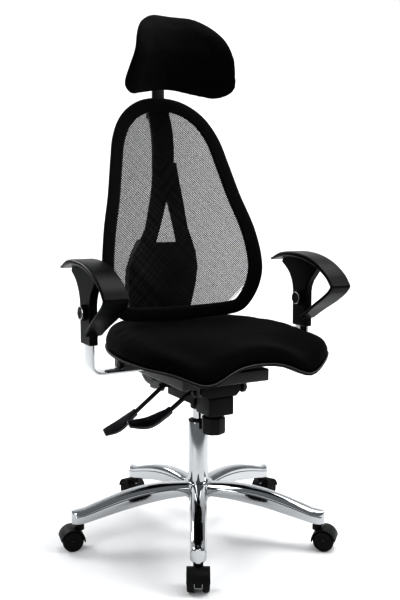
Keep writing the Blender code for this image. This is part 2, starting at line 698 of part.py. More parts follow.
def make_spring(parent):
    """Coil spring standing round the tension screw, inside the block."""
    turns = 5
    steps = 10
    low = BLOCK_BOTTOM + BLOCK_FLOOR + SPRING_WIRE + GAP
    high = BLOCK_TOP - SPRING_WIRE - GAP
    axis = Vector((0.0, KNOB_AXIS_Y, 0.0))
    rings = []
    for step in range(turns * steps + 1):
        angle = math.tau * step / steps
        out = Vector((math.cos(angle), math.sin(angle), 0.0))
        point = axis + out * SPRING_RADIUS + Vector((0, 0, low + (high - low) * step / (turns * steps)))
        rings.append([point + (out * math.cos(a) + Vector((0, 0, 1)) * math.sin(a)) * SPRING_WIRE
                      for a in (0.0, math.tau / 4, math.tau / 2, math.tau * 0.75)])
    add_piece("tension_spring", loft(rings), "zinc_steel", parent, axis)


def make_tension(parent):
    block = box((-BLOCK_HALF_WIDTH, BLOCK_FRONT, BLOCK_BOTTOM),
                (BLOCK_HALF_WIDTH, BLOCK_REAR, BLOCK_TOP), 0.003)
    block = cut(block, pin(SCREW_RADIUS + RUNNING, (0, KNOB_AXIS_Y, BLOCK_BOTTOM - 0.01),
                           (0, KNOB_AXIS_Y, BLOCK_TOP), chamfer=0.0))
    well = SPRING_RADIUS + SPRING_WIRE + 0.001
    block = cut(block, pin(well, (0, KNOB_AXIS_Y, BLOCK_BOTTOM + BLOCK_FLOOR),
                           (0, KNOB_AXIS_Y, BLOCK_TOP + 0.01), chamfer=0.0))
    add_piece("tension_block", block, "black_nylon", parent)
    sides = 8
    neck = 0.021
    rounds = ((KNOB_RADIUS - 0.006, KNOB_BOTTOM), (KNOB_RADIUS - 0.001, KNOB_BOTTOM + 0.003),
              (KNOB_RADIUS, KNOB_BOTTOM + 0.008), (KNOB_RADIUS, KNOB_TOP - 0.002),
              (KNOB_RADIUS - 0.002, KNOB_TOP))
    rings = []
    for radius, height in rounds:
        rings.append([Vector((radius * math.cos(math.tau * i / sides), KNOB_AXIS_Y
                              + radius * math.sin(math.tau * i / sides), height)) for i in range(sides)])
    knob = loft(rings)
    knob = join(knob, pin(neck, (0, KNOB_AXIS_Y, KNOB_TOP - 0.004),
                          (0, KNOB_AXIS_Y, BLOCK_BOTTOM - GAP)))
    knob = join(knob, pin(SCREW_RADIUS, (0, KNOB_AXIS_Y, BLOCK_BOTTOM - 0.004),
                          (0, KNOB_AXIS_Y, SCREW_TOP)))
    add_piece("tension_knob", knob, "grey_nylon", parent, (0, KNOB_AXIS_Y, KNOB_BOTTOM))


def make_axles(parent):
    reach = HOUSING_HALF_WIDTH + 0.016
    for name, (y, z) in (("seat_axle", SEAT_PIVOT), ("back_axle", BACK_PIVOT)):
        axle = pin(PIVOT_RADIUS, (-reach, y, z), (reach, y, z))
        add_piece(name, axle, "zinc_steel", parent, (0, y, z))


def lever(y, rod_end, grip_end, droop):
    """Rod from inside the housing wall to the paddle grip, and the grip, both in the lever's plane."""
    root = Vector((LEVER_ROOT_X + 0.018, y, LEVER_ROOT_Z + 0.002))
    elbow = Vector((LEVER_ROOT_X - 0.012, y, LEVER_ROOT_Z - 0.003))
    rod_path = smooth_curve([root, elbow, Vector(rod_end)], 3)
    count = len(rod_path)
    rod = ribbon(rod_path, (0, 1, 0), [LEVER_RADIUS * 2] * count, [LEVER_RADIUS * 2] * count, 0.29)
    along = (rod_path[-1] - rod_path[-2]).normalized()
    start = Vector(rod_end) + along * GAP
    collar = start + along * 0.012
    middle = (collar + Vector(grip_end)) / 2 - Vector((0, 0, droop))
    grip_path = [start] + smooth_curve([collar, middle, Vector(grip_end)], 3)
    shares = [index / (len(grip_path) - 1) for index in range(len(grip_path))]
    widths = [GRIP_NECK + (GRIP_WIDTH - GRIP_NECK) * math.sin(math.pi * 0.92 * share) for share in shares]
    thick = [GRIP_NECK + (GRIP_TIP - GRIP_NECK) * share for share in shares]
    return rod, ribbon(grip_path, (0, 1, 0), widths, thick, 0.32)


def make_levers(parent):
    for name, y, rod_end, grip_end, droop in (
            ("height_lever", HEIGHT_LEVER_Y, (-0.118, HEIGHT_LEVER_Y, 0.352),
             (-0.226, HEIGHT_LEVER_Y, 0.331), 0.010),
            ("tilt_lever", TILT_LEVER_Y, (-0.152, TILT_LEVER_Y, 0.324),
             (-0.236, TILT_LEVER_Y, 0.282), 0.006)):
        rod, grip = lever(y, rod_end, grip_end, droop)
        pivot = (LEVER_ROOT_X, y, LEVER_ROOT_Z)
        add_piece(name + "_rod", rod, "black_steel", parent, pivot)
        add_piece(name + "_grip", grip, "grey_nylon", parent, pivot)


# ---------------------------------------------------------------- seat
def thigh_weight(x, y):
    """1 on the front edge of each thigh roll, 0 away from them."""
    across = math.exp(-((abs(x) - THIGH_X) / THIGH_SPREAD) ** 2)
    return across * smooth_step(-0.12, -0.27, y)


def pan_top(x, y):
    """Upper face of the seat pan: level, dipping under each thigh roll."""
    return SEAT_BASE + SEAT_PAN - THIGH_DROP * thigh_weight(x, y)


def cushion_top(x, y):
    dish = SEAT_DISH * math.exp(-((x / 0.13) ** 2 + ((y - 0.03) / 0.13) ** 2))
    fall = SEAT_FALL * smooth_step(0.05, -0.27, y)
    return SEAT_TOP - dish - fall - THIGH_DROP * 0.8 * thigh_weight(x, y)


def scaled(outline, share, centre):
    return [centre + (point - centre) * share for point in outline]


def make_seat(parent):
    outline = mirrored_outline(SEAT_SHAPE, SEAT_HALF_WIDTH, SEAT_REAR, SEAT_DEPTH, 3)
    centre = Vector((0.0, -0.03))
    pan_outline = inset(outline, -PIPING)
    shares = (1.0, 0.86, 0.66, 0.44, 0.22)
    upper = [[Vector((p.x, p.y, pan_top(p.x, p.y))) for p in scaled(pan_outline, s, centre)]
             for s in reversed(shares)]
    lower = [[point - Vector((0, 0, SEAT_PAN)) for point in ring] for ring in reversed(upper)]
    add_piece("seat_pan", domed(upper + lower), "grey_nylon", parent)
    lift = GAP * 2
    rings = [[point + Vector((0, 0, lift)) for point in ring] for ring in upper]
    for push, share in ((-0.003, 0.25), (-0.003, 0.55), (0.003, 0.80), (0.014, 0.95), (0.034, 1.0)):
        ring = []
        for p in inset(outline, push):
            height = (1 - share) * (pan_top(p.x, p.y) + lift) + share * cushion_top(p.x, p.y)
            ring.append(Vector((p.x, p.y, height)))
        rings.append(ring)
    inner = inset(outline, 0.034)
    for share in (0.75, 0.45, 0.2):
        rings.append([Vector((p.x, p.y, cushion_top(p.x, p.y))) for p in scaled(inner, share, centre)])
    add_piece("seat_cushion", domed(rings), "seat_cloth", parent)


def make_seat_carrier(parent):
    tray = box((-TRAY_HALF_WIDTH, TRAY_FRONT, TRAY_BOTTOM), (TRAY_HALF_WIDTH, TRAY_REAR, TRAY_TOP), 0.002)
    riser = box((-RISER_HALF_WIDTH, TRAY_FRONT + 0.045, TRAY_TOP - 0.003),
                (RISER_HALF_WIDTH, TRAY_REAR - 0.010, SEAT_BASE - GAP))
    carrier = join(tray, riser)
    for side in (-1, 1):
        inner, outer = sorted((side * (RISER_HALF_WIDTH - 0.004), side * ARM_SOCKET_REACH))
        low = (inner, ARM_Y - BAR_WIDTH / 2 - 0.004, BAR_LEVEL + BAR_THICKNESS / 2 + GAP)
        high = (outer, ARM_Y + BAR_WIDTH / 2 + 0.004, SEAT_BASE - GAP - 0.0005)
        carrier = join(carrier, box(low, high))
    for side in (-1, 1):
        mouth = Vector((side * (ARM_SOCKET_REACH + 0.01), ARM_Y - BAR_WIDTH / 4, CLAMP_KNOB_LEVEL))
        end = mouth - Vector((side * (CLAMP_STUD + 0.011), 0, 0))
        carrier = cut(carrier, pin(STUD_RADIUS + RUNNING, end, mouth, sides=12, chamfer=0.0))
    hollow_top = SEAT_BASE - 0.005
    carrier = cut(carrier, box((-TRAY_HALF_WIDTH + TRAY_WALL, TRAY_FRONT + TRAY_WALL, TRAY_BOTTOM - 0.01),
                               (TRAY_HALF_WIDTH - TRAY_WALL, TRAY_REAR - TRAY_WALL, TRAY_TOP - TRAY_WALL)))
    carrier = cut(carrier, box((-RISER_HALF_WIDTH + TRAY_WALL, TRAY_FRONT + 0.049, TRAY_TOP - 0.02),
                               (RISER_HALF_WIDTH - TRAY_WALL, TRAY_REAR - 0.014, hollow_top)))
    lug_inner = HOUSING_HALF_WIDTH + 0.002
    for side in (-1, 1):
        low, high = sorted((side * lug_inner, side * (lug_inner + 0.008)))
        y, z = SEAT_PIVOT
        radius = PIVOT_RADIUS * 2
        outline = arc((y, z), radius, 180, 360, 8)
        outline += [(y + radius, TRAY_TOP - 0.001), (y - radius, TRAY_TOP - 0.001)]
        carrier = join(carrier, prism(outline, low, high, "X"))
    bore = pin(PIVOT_RADIUS + RUNNING, (-0.1, *SEAT_PIVOT), (0.1, *SEAT_PIVOT), chamfer=0.0)
    carrier = cut(carrier, bore)
    y, z = SEAT_PIVOT
    add_piece("seat_carrier", carrier, "black_nylon", parent, (0, y, z))


# ---------------------------------------------------------------- arms
def arm_bar_path():
    """Middle line of the flat bar, from under the seat to its upper end, for the +X arm."""
    corner = (ARM_X - BAR_BEND, BAR_LEVEL + BAR_BEND)
    bend = arc(corner, BAR_BEND, -90, 0, 6)
    points = [(BAR_INNER_X, BAR_LEVEL)] + bend + [(ARM_X, BAR_TOP)]
    return [Vector((x, ARM_Y, z)) for x, z in points]


def arm_band_path():
    """Middle line of the arm rest's band, as a loop from the rear tip over to the upright's foot."""
    top = ARM_TOP - ARM_PAD_THICKNESS / 2
    points = [(0.086, top - 0.018), (0.045, top - 0.005), (0.0, top), (-0.060, top - 0.005),
              (-0.115, top - 0.021), (-0.160, top - 0.046), (-0.179, top - 0.065), (-0.170, top - 0.081),
              (-0.135, top - 0.106), (-0.090, top - 0.133), (-0.046, top - 0.162)]
    return smooth_curve([Vector((0.0, y, z)) for y, z in points], 3)


def arm_rest():
    path = arm_band_path()
    count = len(path)
    widths = []
    thick = []
    for index in range(count):
        share = index / (count - 1)
        widths.append(ARM_PAD_WIDTH * (1 - 0.25 * smooth_step(0.80, 1.0, share)))
        thick.append(ARM_PAD_THICKNESS * (0.45 + 0.55 * smooth_step(0.0, 0.12, share))
                     * (1 - 0.35 * smooth_step(0.35, 0.6, share)))
    band = ribbon(path, (1, 0, 0), widths, thick, 0.30)
    half = SLEEVE_WIDTH / 2
    rear = ARM_Y + half
    front = ARM_Y - half
    top = ARM_TOP - ARM_PAD_THICKNESS
    outline = [(front, SLEEVE_BOTTOM), (rear, SLEEVE_BOTTOM), (rear, 0.608), (rear + 0.008, 0.632),
               (rear + 0.028, 0.658), (rear + 0.052, 0.674), (rear + 0.046, top - 0.004),
               (0.0, top + 0.004), (front - 0.040, top - 0.004), (front - 0.052, top - 0.014),
               (front - 0.022, 0.645), (front - 0.003, 0.618), (front, 0.600)]
    upright = prism(outline, -SLEEVE_THICKNESS / 2, SLEEVE_THICKNESS / 2, "X")
    rest = join(upright, band)
    slot_x = BAR_THICKNESS / 2 + GAP
    slot_y = BAR_WIDTH / 2 + GAP
    rest = cut(rest, box((-slot_x, ARM_Y - slot_y, SLEEVE_BOTTOM - 0.02), (slot_x, ARM_Y + slot_y, 0.672)))
    bore = pin(STUD_RADIUS + RUNNING, (-0.03, ARM_Y, ARM_KNOB_Z), (-BAR_THICKNESS / 2, ARM_Y, ARM_KNOB_Z),
               sides=12, chamfer=0.0)
    return cut(rest, bore)


def star_knob(radius, depth, lobes, stud):
    """Scalloped hand knob about Z, with its face up and its stud down."""
    count = lobes * 4
    rings = []
    for share, height in ((0.92, 0.0), (1.0, depth * 0.2), (1.0, depth * 0.8), (0.88, depth)):
        ring = []
        for index in range(count):
            angle = math.tau * index / count
            reach = radius * share * (0.94 + 0.06 * math.cos(lobes * angle))
            ring.append(Vector((reach * math.cos(angle), reach * math.sin(angle), height)))
        rings.append(ring)
    knob = domed(rings)
    return join(knob, pin(STUD_RADIUS, (0, 0, -stud), (0, 0, depth / 2), sides=12))


def make_arms(parent):
    for side, label in ((-1, "right"), (1, "left")):
        path = [Vector((side * p.x, p.y, p.z)) for p in arm_bar_path()]
        count = len(path)
        bar = ribbon(path, (0, 1, 0), [BAR_WIDTH] * count, [BAR_THICKNESS] * count, 0.18)
        add_piece("arm_bar_" + label, bar, "chrome", parent, (side * ARM_X, ARM_Y, BAR_LEVEL))
        rest = arm_rest()
        bmesh.ops.translate(rest, verts=rest.verts, vec=(side * ARM_X, 0, 0))
        add_piece("arm_rest_" + label, rest, "grey_nylon", parent, (side * ARM_X, ARM_Y, ARM_TOP))
        stud = SLEEVE_THICKNESS / 2 - BAR_THICKNESS / 2 - GAP
        knob = star_knob(ARM_KNOB_RADIUS, ARM_KNOB_DEPTH, 6, stud)
        centre = Vector((side * ARM_X - SLEEVE_THICKNESS / 2 - GAP, ARM_Y, ARM_KNOB_Z))
        tip = Matrix.Rotation(math.radians(-90), 4, "Y")
        bmesh.ops.transform(knob, matrix=Matrix.Translation(centre) @ tip, verts=knob.verts)
        add_piece("arm_knob_" + label, knob, "black_nylon", parent, centre)
        clamp = star_knob(CLAMP_KNOB_RADIUS, CLAMP_KNOB_DEPTH, 8, CLAMP_STUD)
        centre = Vector((side * (ARM_SOCKET_REACH + GAP), ARM_Y - BAR_WIDTH / 4, CLAMP_KNOB_LEVEL))
        tip = Matrix.Rotation(math.radians(90 * side), 4, "Y")
        bmesh.ops.transform(clamp, matrix=Matrix.Translation(centre) @ tip, verts=clamp.verts)
        add_piece("arm_clamp_knob_" + label, clamp, "black_nylon", parent, centre)


# ---------------------------------------------------------------- back
def back_depth(x, z):
    return lookup(BACK_PROFILE, z) - BACK_WRAP * (x / BACK_HALF_WIDTH) ** 2


def on_back(outline, behind):
    """Lay a flat (x, z) outline on the back's curved surface, a distance behind it."""
    return [Vector((p.x, back_depth(p.x, p.y) + behind, p.y)) for p in outline]


def make_back_frame(parent):
    outline = mirrored_outline(BACK_SHAPE, BACK_HALF_WIDTH, BACK_TOP, BACK_TOP - BACK_BOTTOM, 2)
    half = FRAME_THICKNESS / 2
    round_edge = 0.004
    section = ((0.0, 0.0), (round_edge, -half), (FRAME_BORDER - round_edge, -half), (FRAME_BORDER, 0.0),
               (FRAME_BORDER - round_edge, half), (round_edge, half))
    rings = []
    loops = [on_back(inset(outline, across), behind) for across, behind in section]
    for index in range(len(outline)):
        rings.append([loop[index] for loop in loops])
    add_piece("back_frame", loft(rings, closed=True), "back_net", parent)
    edge = inset(outline, FRAME_BORDER + GAP)
    centre = Vector((0.0, 0.80))
    shares = (1.0, 0.70, 0.36)
    front = [on_back(scaled(edge, s, centre), -MESH_THICKNESS / 2) for s in reversed(shares)]
    rear = [on_back(scaled(edge, s, centre), MESH_THICKNESS / 2) for s in shares]
    add_piece("back_mesh", domed(front + rear), "back_net", parent)


def curved_plate(outline, behind, thickness, steps):
    """Plate cut to a (x, z) outline that follows the upright's profile, a distance behind its face."""
    low = min(z for _, z in outline)
    high = max(z for _, z in outline)
    shape = prism(outline, 0.0, thickness, "Y")
    for step in range(1, steps):
        height = low + (high - low) * step / steps
        bmesh.ops.bisect_plane(shape, geom=shape.verts[:] + shape.edges[:] + shape.faces[:],
                               plane_co=(0, 0, height), plane_no=(0, 0, 1))
    bmesh.ops.triangulate(shape, faces=shape.faces)
    for vert in shape.verts:
        vert.co.y += spine_depth(vert.co.z) + behind
    return shape


def spine_depth(z):
    """Front face of the plate and the upright that stand behind the net."""
    return lookup(SPINE_PROFILE, z)


def make_back_spine(parent):
    half = SPINE_WIDTH / 2
    rings = []
    for step in range(9):
        z = SPINE_BOTTOM + (SPINE_TOP - SPINE_BOTTOM) * step / 8
        behind_plate = (PLATE_THICKNESS + PLATE_ROOM) * (1 - smooth_step(LUMBAR_TOP, LUMBAR_TOP + 0.03, z))
        y = spine_depth(z) + behind_plate
        rings.append([Vector((a, b, z)) for a, b in ((half, y), (half, y + SPINE_THICKNESS),
                                                     (-half, y + SPINE_THICKNESS), (-half, y))])
    spine = loft(rings)
    front = spine_depth(SPINE_TOP)
    head = box((-half, front, SPINE_TOP - 0.036), (half, HEAD_BAR_Y + 0.011, SPINE_TOP + 0.004), 0.002)
    spine = join(spine, head)
    slot_x = HEAD_BAR_WIDTH / 2 + GAP * 2
    slot = HEAD_BAR_THICKNESS / 2 + GAP * 2
    spine = cut(spine, box((-slot_x, HEAD_BAR_Y - slot, SPINE_BOTTOM - 0.02),
                           (slot_x, HEAD_BAR_Y + slot, SPINE_TOP + 0.1)))
    add_piece("back_spine", spine, "black_nylon", parent)


def make_lumbar_plate(parent):
    right = [(0.034, LUMBAR_TOP), (0.036, 0.905), (0.042, 0.8635), (0.061, 0.765), (0.074, 0.736),
             (0.090, 0.700), (0.100, 0.658), (0.099, 0.610), (0.090, 0.552)]
    outline = right + [(-x, z) for x, z in reversed(right)]
    plate = curved_plate(outline, 0.0, PLATE_THICKNESS, 8)
    window = [(0.0, 0.840), (0.030, 0.728), (-0.030, 0.728)]
    plate = cut(plate, prism(window, 0.0, 0.4, "Y"))
    pad_edge = right[4:]
    for side in (-1, 1):
        outer = [(side * (x - 0.0005), z) for x, z in pad_edge]
        inner = [(side * (x - PAD_RIM_WALL), z) for x, z in reversed(pad_edge)]
        plate = join(plate, curved_plate(outer + inner, PLATE_THICKNESS / 3, PAD_RIM_DEPTH, 6))
    add_piece("lumbar_plate", plate, "black_nylon", parent)


def carrier_path():
    """Middle line of the bent bar, in the chair's middle plane."""
    behind = PLATE_THICKNESS + GAP * 2 + CARRIER_THICKNESS / 2
    low = [(0.128, 0.362), (0.190, 0.352), (0.246, 0.354), (0.276, 0.384), (0.280, 0.440), (0.262, 0.500)]
    high = [(spine_depth(z) + behind + slack, z)
            for z, slack in ((0.575, 0.007), (0.625, 0.002), (0.720, 0.001))]
    return smooth_curve([Vector((0.0, y, z)) for y, z in low + high], 3)


def make_back_carrier(parent):
    path = carrier_path()
    count = len(path)
    bar = ribbon(path, (1, 0, 0), [CARRIER_WIDTH] * count, [CARRIER_THICKNESS] * count, 0.2)
    cheek = HOUSING_HALF_WIDTH + 0.003
    thickness = 0.008
    y, z = BACK_PIVOT
    yoke = box((-cheek - thickness, YOKE_FRONT, z - 0.016),
               (cheek + thickness, YOKE_FRONT + YOKE_DEPTH, z + 0.006), 0.002)
    bar = join(bar, yoke)
    for side in (-1, 1):
        low, high = sorted((side * cheek, side * (cheek + thickness)))
        root = YOKE_FRONT + 0.004
        outline = arc((y, z), 0.014, 90, 270, 6) + [(root, z - 0.0125), (root, z + 0.0055)]
        bar = join(bar, prism(outline, low, high, "X"))
    bar = cut(bar, pin(PIVOT_RADIUS + RUNNING, (-0.1, y, z), (0.1, y, z), chamfer=0.0))
    add_piece("back_carrier", bar, "black_steel", parent, (0, y, z))


# ---------------------------------------------------------------- headrest
def head_depth(x, z):
    """Front face of the head cushion: bulging forward at mid height, its sides wrapping round the head."""
    return lookup(HEAD_PROFILE, z) - HEAD_WRAP * (x / HEAD_HALF_WIDTH) ** 2


def on_head(outline, behind):
    return [Vector((p.x, head_depth(p.x, p.y) + behind, p.y)) for p in outline]


def make_headrest(parent):
    outline = mirrored_outline(HEAD_SHAPE, HEAD_HALF_WIDTH, HEAD_TOP, HEAD_HEIGHT, 2)
    centre = Vector((0.0, 1.19))
    back = HEAD_THICKNESS - 0.001
    rings = [on_head(scaled(outline, share, centre), 0.0) for share in (0.25, 0.50)]
    for across, behind in ((0.034, 0.001), (0.014, 0.004), (0.003, 0.012), (0.0, 0.020), (0.003, 0.030),
                           (0.010, back)):
        rings.append(on_head(inset(outline, across), behind))
    shares = (0.66, 0.33)
    edge = inset(outline, 0.010)
    rings += [on_head(scaled(edge, share, centre), back) for share in shares]
    add_piece("headrest_pad", domed(rings), "head_cloth", parent, HEAD_PIVOT)
    behind = back + GAP * 3
    front = [on_head(scaled(edge, share, centre), behind) for share in (1.0,) + shares]
    rear = [on_head(scaled(inset(outline, 0.014), share, centre), behind + HEAD_SHELL)
            for share in reversed((1.0,) + shares)]
    shell = domed(rear + front)
    _, pivot_y, pivot_z = HEAD_PIVOT
    for side in (-1, 1):
        low, high = sorted((side * HEAD_LUG_INNER, side * (HEAD_LUG_INNER + 0.006)))
        roots = [(head_depth(0.0, pivot_z + rise) + behind + HEAD_SHELL / 2, pivot_z + rise)
                 for rise in (0.02, -0.02)]
        outline = arc((pivot_y, pivot_z), 0.011, -90, 90, 6) + roots
        lug = prism(outline, low, high, "X")
        shell = join(shell, lug)
    bore = pin(HEAD_PIN_RADIUS + RUNNING, (-0.05, pivot_y, pivot_z), (0.05, pivot_y, pivot_z),
               sides=12, chamfer=0.0)
    shell = cut(shell, bore)
    add_piece("headrest_shell", shell, "black_nylon", parent, HEAD_PIVOT)
    path = [Vector((0.0, HEAD_BAR_Y, z)) for z in (HEAD_BAR_BOTTOM, 1.00, 1.10, pivot_z)]
    count = len(path)
    bar = ribbon(path, (1, 0, 0), [HEAD_BAR_WIDTH] * count, [HEAD_BAR_THICKNESS] * count, 0.2)
    half_eye = HEAD_LUG_INNER - 0.001
    eye = pin(0.010, (-half_eye, pivot_y, pivot_z), (half_eye, pivot_y, pivot_z))
    bar = join(bar, eye)
    reach = HEAD_LUG_INNER + 0.007
    bar = join(bar, pin(HEAD_PIN_RADIUS, (-reach, pivot_y, pivot_z), (reach, pivot_y, pivot_z), sides=12))
    add_piece("headrest_bar", bar, "black_steel", parent)


def build():
    clear_scene()
    chair = add_empty("chair", SWIVEL_AXIS)
    make_base(chair)
    seat_level = make_column(chair)
    make_rod(chair, seat_level)
    make_cylinder(chair)
    make_castors(chair)
    make_housing(chair)
    make_tension(chair)
    make_spring(chair)
    make_axles(chair)
    make_levers(chair)
    make_seat_carrier(chair)
    make_seat(chair)
    make_arms(chair)
    make_back_carrier(chair)
    make_lumbar_plate(chair)
    make_back_spine(chair)
    make_back_frame(chair)
    make_headrest(chair)


build()
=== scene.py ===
# %% [markdown]
# # A high-back swivel office chair
# The imported model gives the chair's exact frame: every rigid body, joint and size. This lesson dresses that
# frame with the surfaces people see. It starts by loading the frame and finding the swivel axis from the
# column tube. Nothing that is added later may make the chair bigger.

# %% Load the frame
import math

import bmesh
import bpy
from mathutils import Matrix, Vector


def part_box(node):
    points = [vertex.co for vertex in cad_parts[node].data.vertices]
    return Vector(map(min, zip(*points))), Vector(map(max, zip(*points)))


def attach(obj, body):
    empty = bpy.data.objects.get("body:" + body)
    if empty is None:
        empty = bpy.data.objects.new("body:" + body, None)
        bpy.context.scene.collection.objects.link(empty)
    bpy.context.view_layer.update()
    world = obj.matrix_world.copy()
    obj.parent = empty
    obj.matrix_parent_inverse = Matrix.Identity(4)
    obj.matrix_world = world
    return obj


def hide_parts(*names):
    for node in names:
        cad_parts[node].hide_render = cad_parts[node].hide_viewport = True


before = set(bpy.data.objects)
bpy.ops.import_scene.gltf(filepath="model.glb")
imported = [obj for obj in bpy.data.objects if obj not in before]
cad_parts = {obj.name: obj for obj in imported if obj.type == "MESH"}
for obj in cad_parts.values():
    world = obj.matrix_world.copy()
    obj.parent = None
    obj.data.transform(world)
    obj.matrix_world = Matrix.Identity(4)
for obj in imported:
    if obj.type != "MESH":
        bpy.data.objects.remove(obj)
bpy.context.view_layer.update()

tube_low, tube_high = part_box("column_tube")
AXIS = Vector(((tube_low.x + tube_high.x) / 2, (tube_low.y + tube_high.y) / 2, 0.0))

# %% [markdown]
# ## The studio
# The chair stands on a plain white sweep: a floor that curves up into a wall, so no horizon shows. The
# camera is a long standard lens at about the height of the arm rests, turned 29 degrees from straight
# ahead. Big soft lights give wide, gentle shadows, and the world is dimmer than they are, so that the
# chrome has something darker to mirror.

# %% Camera
LENS = 49.68
EYE = (-0.968, -1.781, 0.839)
TILT, HEADING_ANGLE = math.radians(83.073), math.radians(-29.115)
camera_data = bpy.data.cameras.new("studio_camera")
camera_data.lens = LENS
camera = bpy.data.objects.new("studio_camera", camera_data)
camera.location = EYE
camera.rotation_euler = (TILT, 0.0, HEADING_ANGLE)
bpy.context.scene.collection.objects.link(camera)
bpy.context.scene.camera = camera


# %% Colours and nodes
def linear(hex_colour):
    """An sRGB hex colour as linear red, green, blue and alpha."""
    values = [int(hex_colour[i:i + 2], 16) / 255 for i in (1, 3, 5)]
    return [v / 12.92 if v <= 0.04045 else ((v + 0.055) / 1.055) ** 2.4 for v in values] + [1.0]


def add_node(tree, kind, inputs=None, **settings):
    """Add a node, apply its settings, and set or link its inputs by name or number."""
    node = tree.nodes.new(kind)
    for key, value in settings.items():
        setattr(node, key, value)
    for key, value in (inputs or {}).items():
        if isinstance(value, bpy.types.NodeSocket):
            tree.links.new(value, node.inputs[key])
        else:
            node.inputs[key].default_value = value
    return node


def principled(name, hex_colour, metallic=0.0, roughness=0.5, **sockets):
    """A Principled material whose even values sit on the shader's own sockets."""
    material = bpy.data.materials.new(name)
    material.use_nodes = True
    tree = material.node_tree
    shader = tree.nodes["Principled BSDF"]
    shader.inputs["Base Color"].default_value = linear(hex_colour)
    shader.inputs["Metallic"].default_value = metallic
    shader.inputs["Roughness"].default_value = roughness
    for key, value in sockets.items():
        shader.inputs[key.replace("_", " ")].default_value = value
    place = add_node(tree, "ShaderNodeTexCoord").outputs["Object"]
    return material, tree, shader, place


def vary(tree, fac, low, high):
    """Turn a 0 to 1 pattern into values between low and high."""
    inputs = {"Value": fac, "To Min": low, "To Max": high}
    return add_node(tree, "ShaderNodeMapRange", inputs).outputs["Result"]


def blend_colours(tree, fac, first, second):
    return add_node(tree, "ShaderNodeMix", {0: fac, 6: linear(first), 7: linear(second)},
                    data_type="RGBA").outputs[2]


def noise(tree, place, scale, detail, **extra):
    """A noise pattern, with its scale in repeats per metre."""
    inputs = {"Vector": place, "Scale": scale, "Detail": detail, **extra}
    return add_node(tree, "ShaderNodeTexNoise", inputs).outputs["Fac"]


def bumped(tree, shader, height, strength, depth):
    """Raise a surface by a pattern, with its depth in metres."""
    bump = add_node(tree, "ShaderNodeBump", {"Height": height, "Strength": strength, "Distance": depth})
    tree.links.new(bump.outputs["Normal"], shader.inputs["Normal"])


def arc(radius, degrees, centre=(0.0, 0.0)):
    """Points of a circle at the given angles, as pairs."""
    return [(centre[0] + radius * math.cos(math.radians(a)), centre[1] + radius * math.sin(math.radians(a)))
            for a in degrees]


# %% Floor, wall and lights
SWEEP_HALF_WIDTH = 6.0
FLOOR_DEPTH = 2.2
SWEEP_RADIUS = 1.6
WALL_TOP = 5.0
HEADING = Vector((0.485, 0.875, 0.0))


def studio_sweep():
    """Floor that curves up into a back wall, seen only as an even pale ground."""
    shape = bmesh.new()
    across = Vector((HEADING.y, -HEADING.x, 0.0))
    profile = [(-SWEEP_HALF_WIDTH, 0.0), (FLOOR_DEPTH, 0.0)]
    profile += arc(SWEEP_RADIUS, range(-80, 1, 10), (FLOOR_DEPTH, SWEEP_RADIUS))
    profile.append((FLOOR_DEPTH + SWEEP_RADIUS, WALL_TOP))
    rows = [[shape.verts.new(HEADING * far + across * side + Vector((0, 0, high)))
             for side in (-SWEEP_HALF_WIDTH, SWEEP_HALF_WIDTH)] for far, high in profile]
    for first, second in zip(rows, rows[1:]):
        shape.faces.new((first[0], first[1], second[1], second[0]))
    mesh = bpy.data.meshes.new("studio_sweep")
    shape.to_mesh(mesh)
    mesh.shade_smooth()
    sweep = bpy.data.objects.new("studio_sweep", mesh)
    bpy.context.scene.collection.objects.link(sweep)
    material, tree, shader, place = principled("white_paper", "#F4F4F4", 0.0, 0.8)
    tree.links.new(blend_colours(tree, noise(tree, place, 3.0, 2.0), "#F2F2F2", "#F6F6F6"),
                   shader.inputs["Base Color"])
    mesh.materials.append(material)


def soft_light(name, place, aim, size, power):
    data = bpy.data.lights.new(name, "AREA")
    data.shape = "RECTANGLE"
    data.size, data.size_y = size
    data.energy = power
    light = bpy.data.objects.new(name, data)
    light.location = place
    light.rotation_euler = (Vector(aim) - Vector(place)).to_track_quat("-Z", "Y").to_euler()
    bpy.context.scene.collection.objects.link(light)


studio_sweep()
soft_light("overhead", (0.9, -0.1, 3.0), (0.0, 0.0, 0.3), (2.2, 2.2), 62)
soft_light("key", (2.6, -2.0, 2.4), (0.0, 0.0, 0.5), (1.4, 1.8), 52)
soft_light("fill", (-3.0, -1.2, 1.6), (0.0, 0.0, 0.6), (1.2, 2.2), 30)
soft_light("wall_wash_left", (0.2, 1.7, 3.3), (0.5, 4.0, 1.6), (2.4, 1.0), 14)
soft_light("wall_wash_right", (1.9, 0.9, 3.3), (2.9, 2.9, 1.8), (2.0, 1.0), 4)
soft_light("rim", (-1.4, 2.6, 2.2), (0.0, 0.0, 0.8), (1.6, 1.0), 44)
world = bpy.data.worlds.new("studio_air")
world.use_nodes = True
air = world.node_tree.nodes["Background"].inputs
air["Color"].default_value = linear("#E9ECEF")
air["Strength"].default_value = 0.30
bpy.context.scene.world = world
bpy.context.scene.view_settings.view_transform = "Standard"
bpy.context.scene.view_settings.look = "High Contrast"

# %% [markdown]
# ## Finishes
# Every finish is named for what it is. Patterns read Object coordinates, in metres, so a scale of 1000
# repeats about every millimetre. Chrome plate mirrors its surroundings and only its polish varies, so a
# slow noise moves its roughness.

# %% Chrome, zinc and powder coat
chrome, tree, shader, place = principled("chrome_plate", "#B6B8BA", 1.0, 0.06)
tree.links.new(vary(tree, noise(tree, place, 14.0, 3.0), 0.035, 0.10), shader.inputs["Roughness"])

zinc, tree, shader, place = principled("zinc_plated_steel", "#A4A6A8", 1.0, 0.34)
tree.links.new(vary(tree, noise(tree, place, 700.0, 2.0), 0.26, 0.44), shader.inputs["Roughness"])

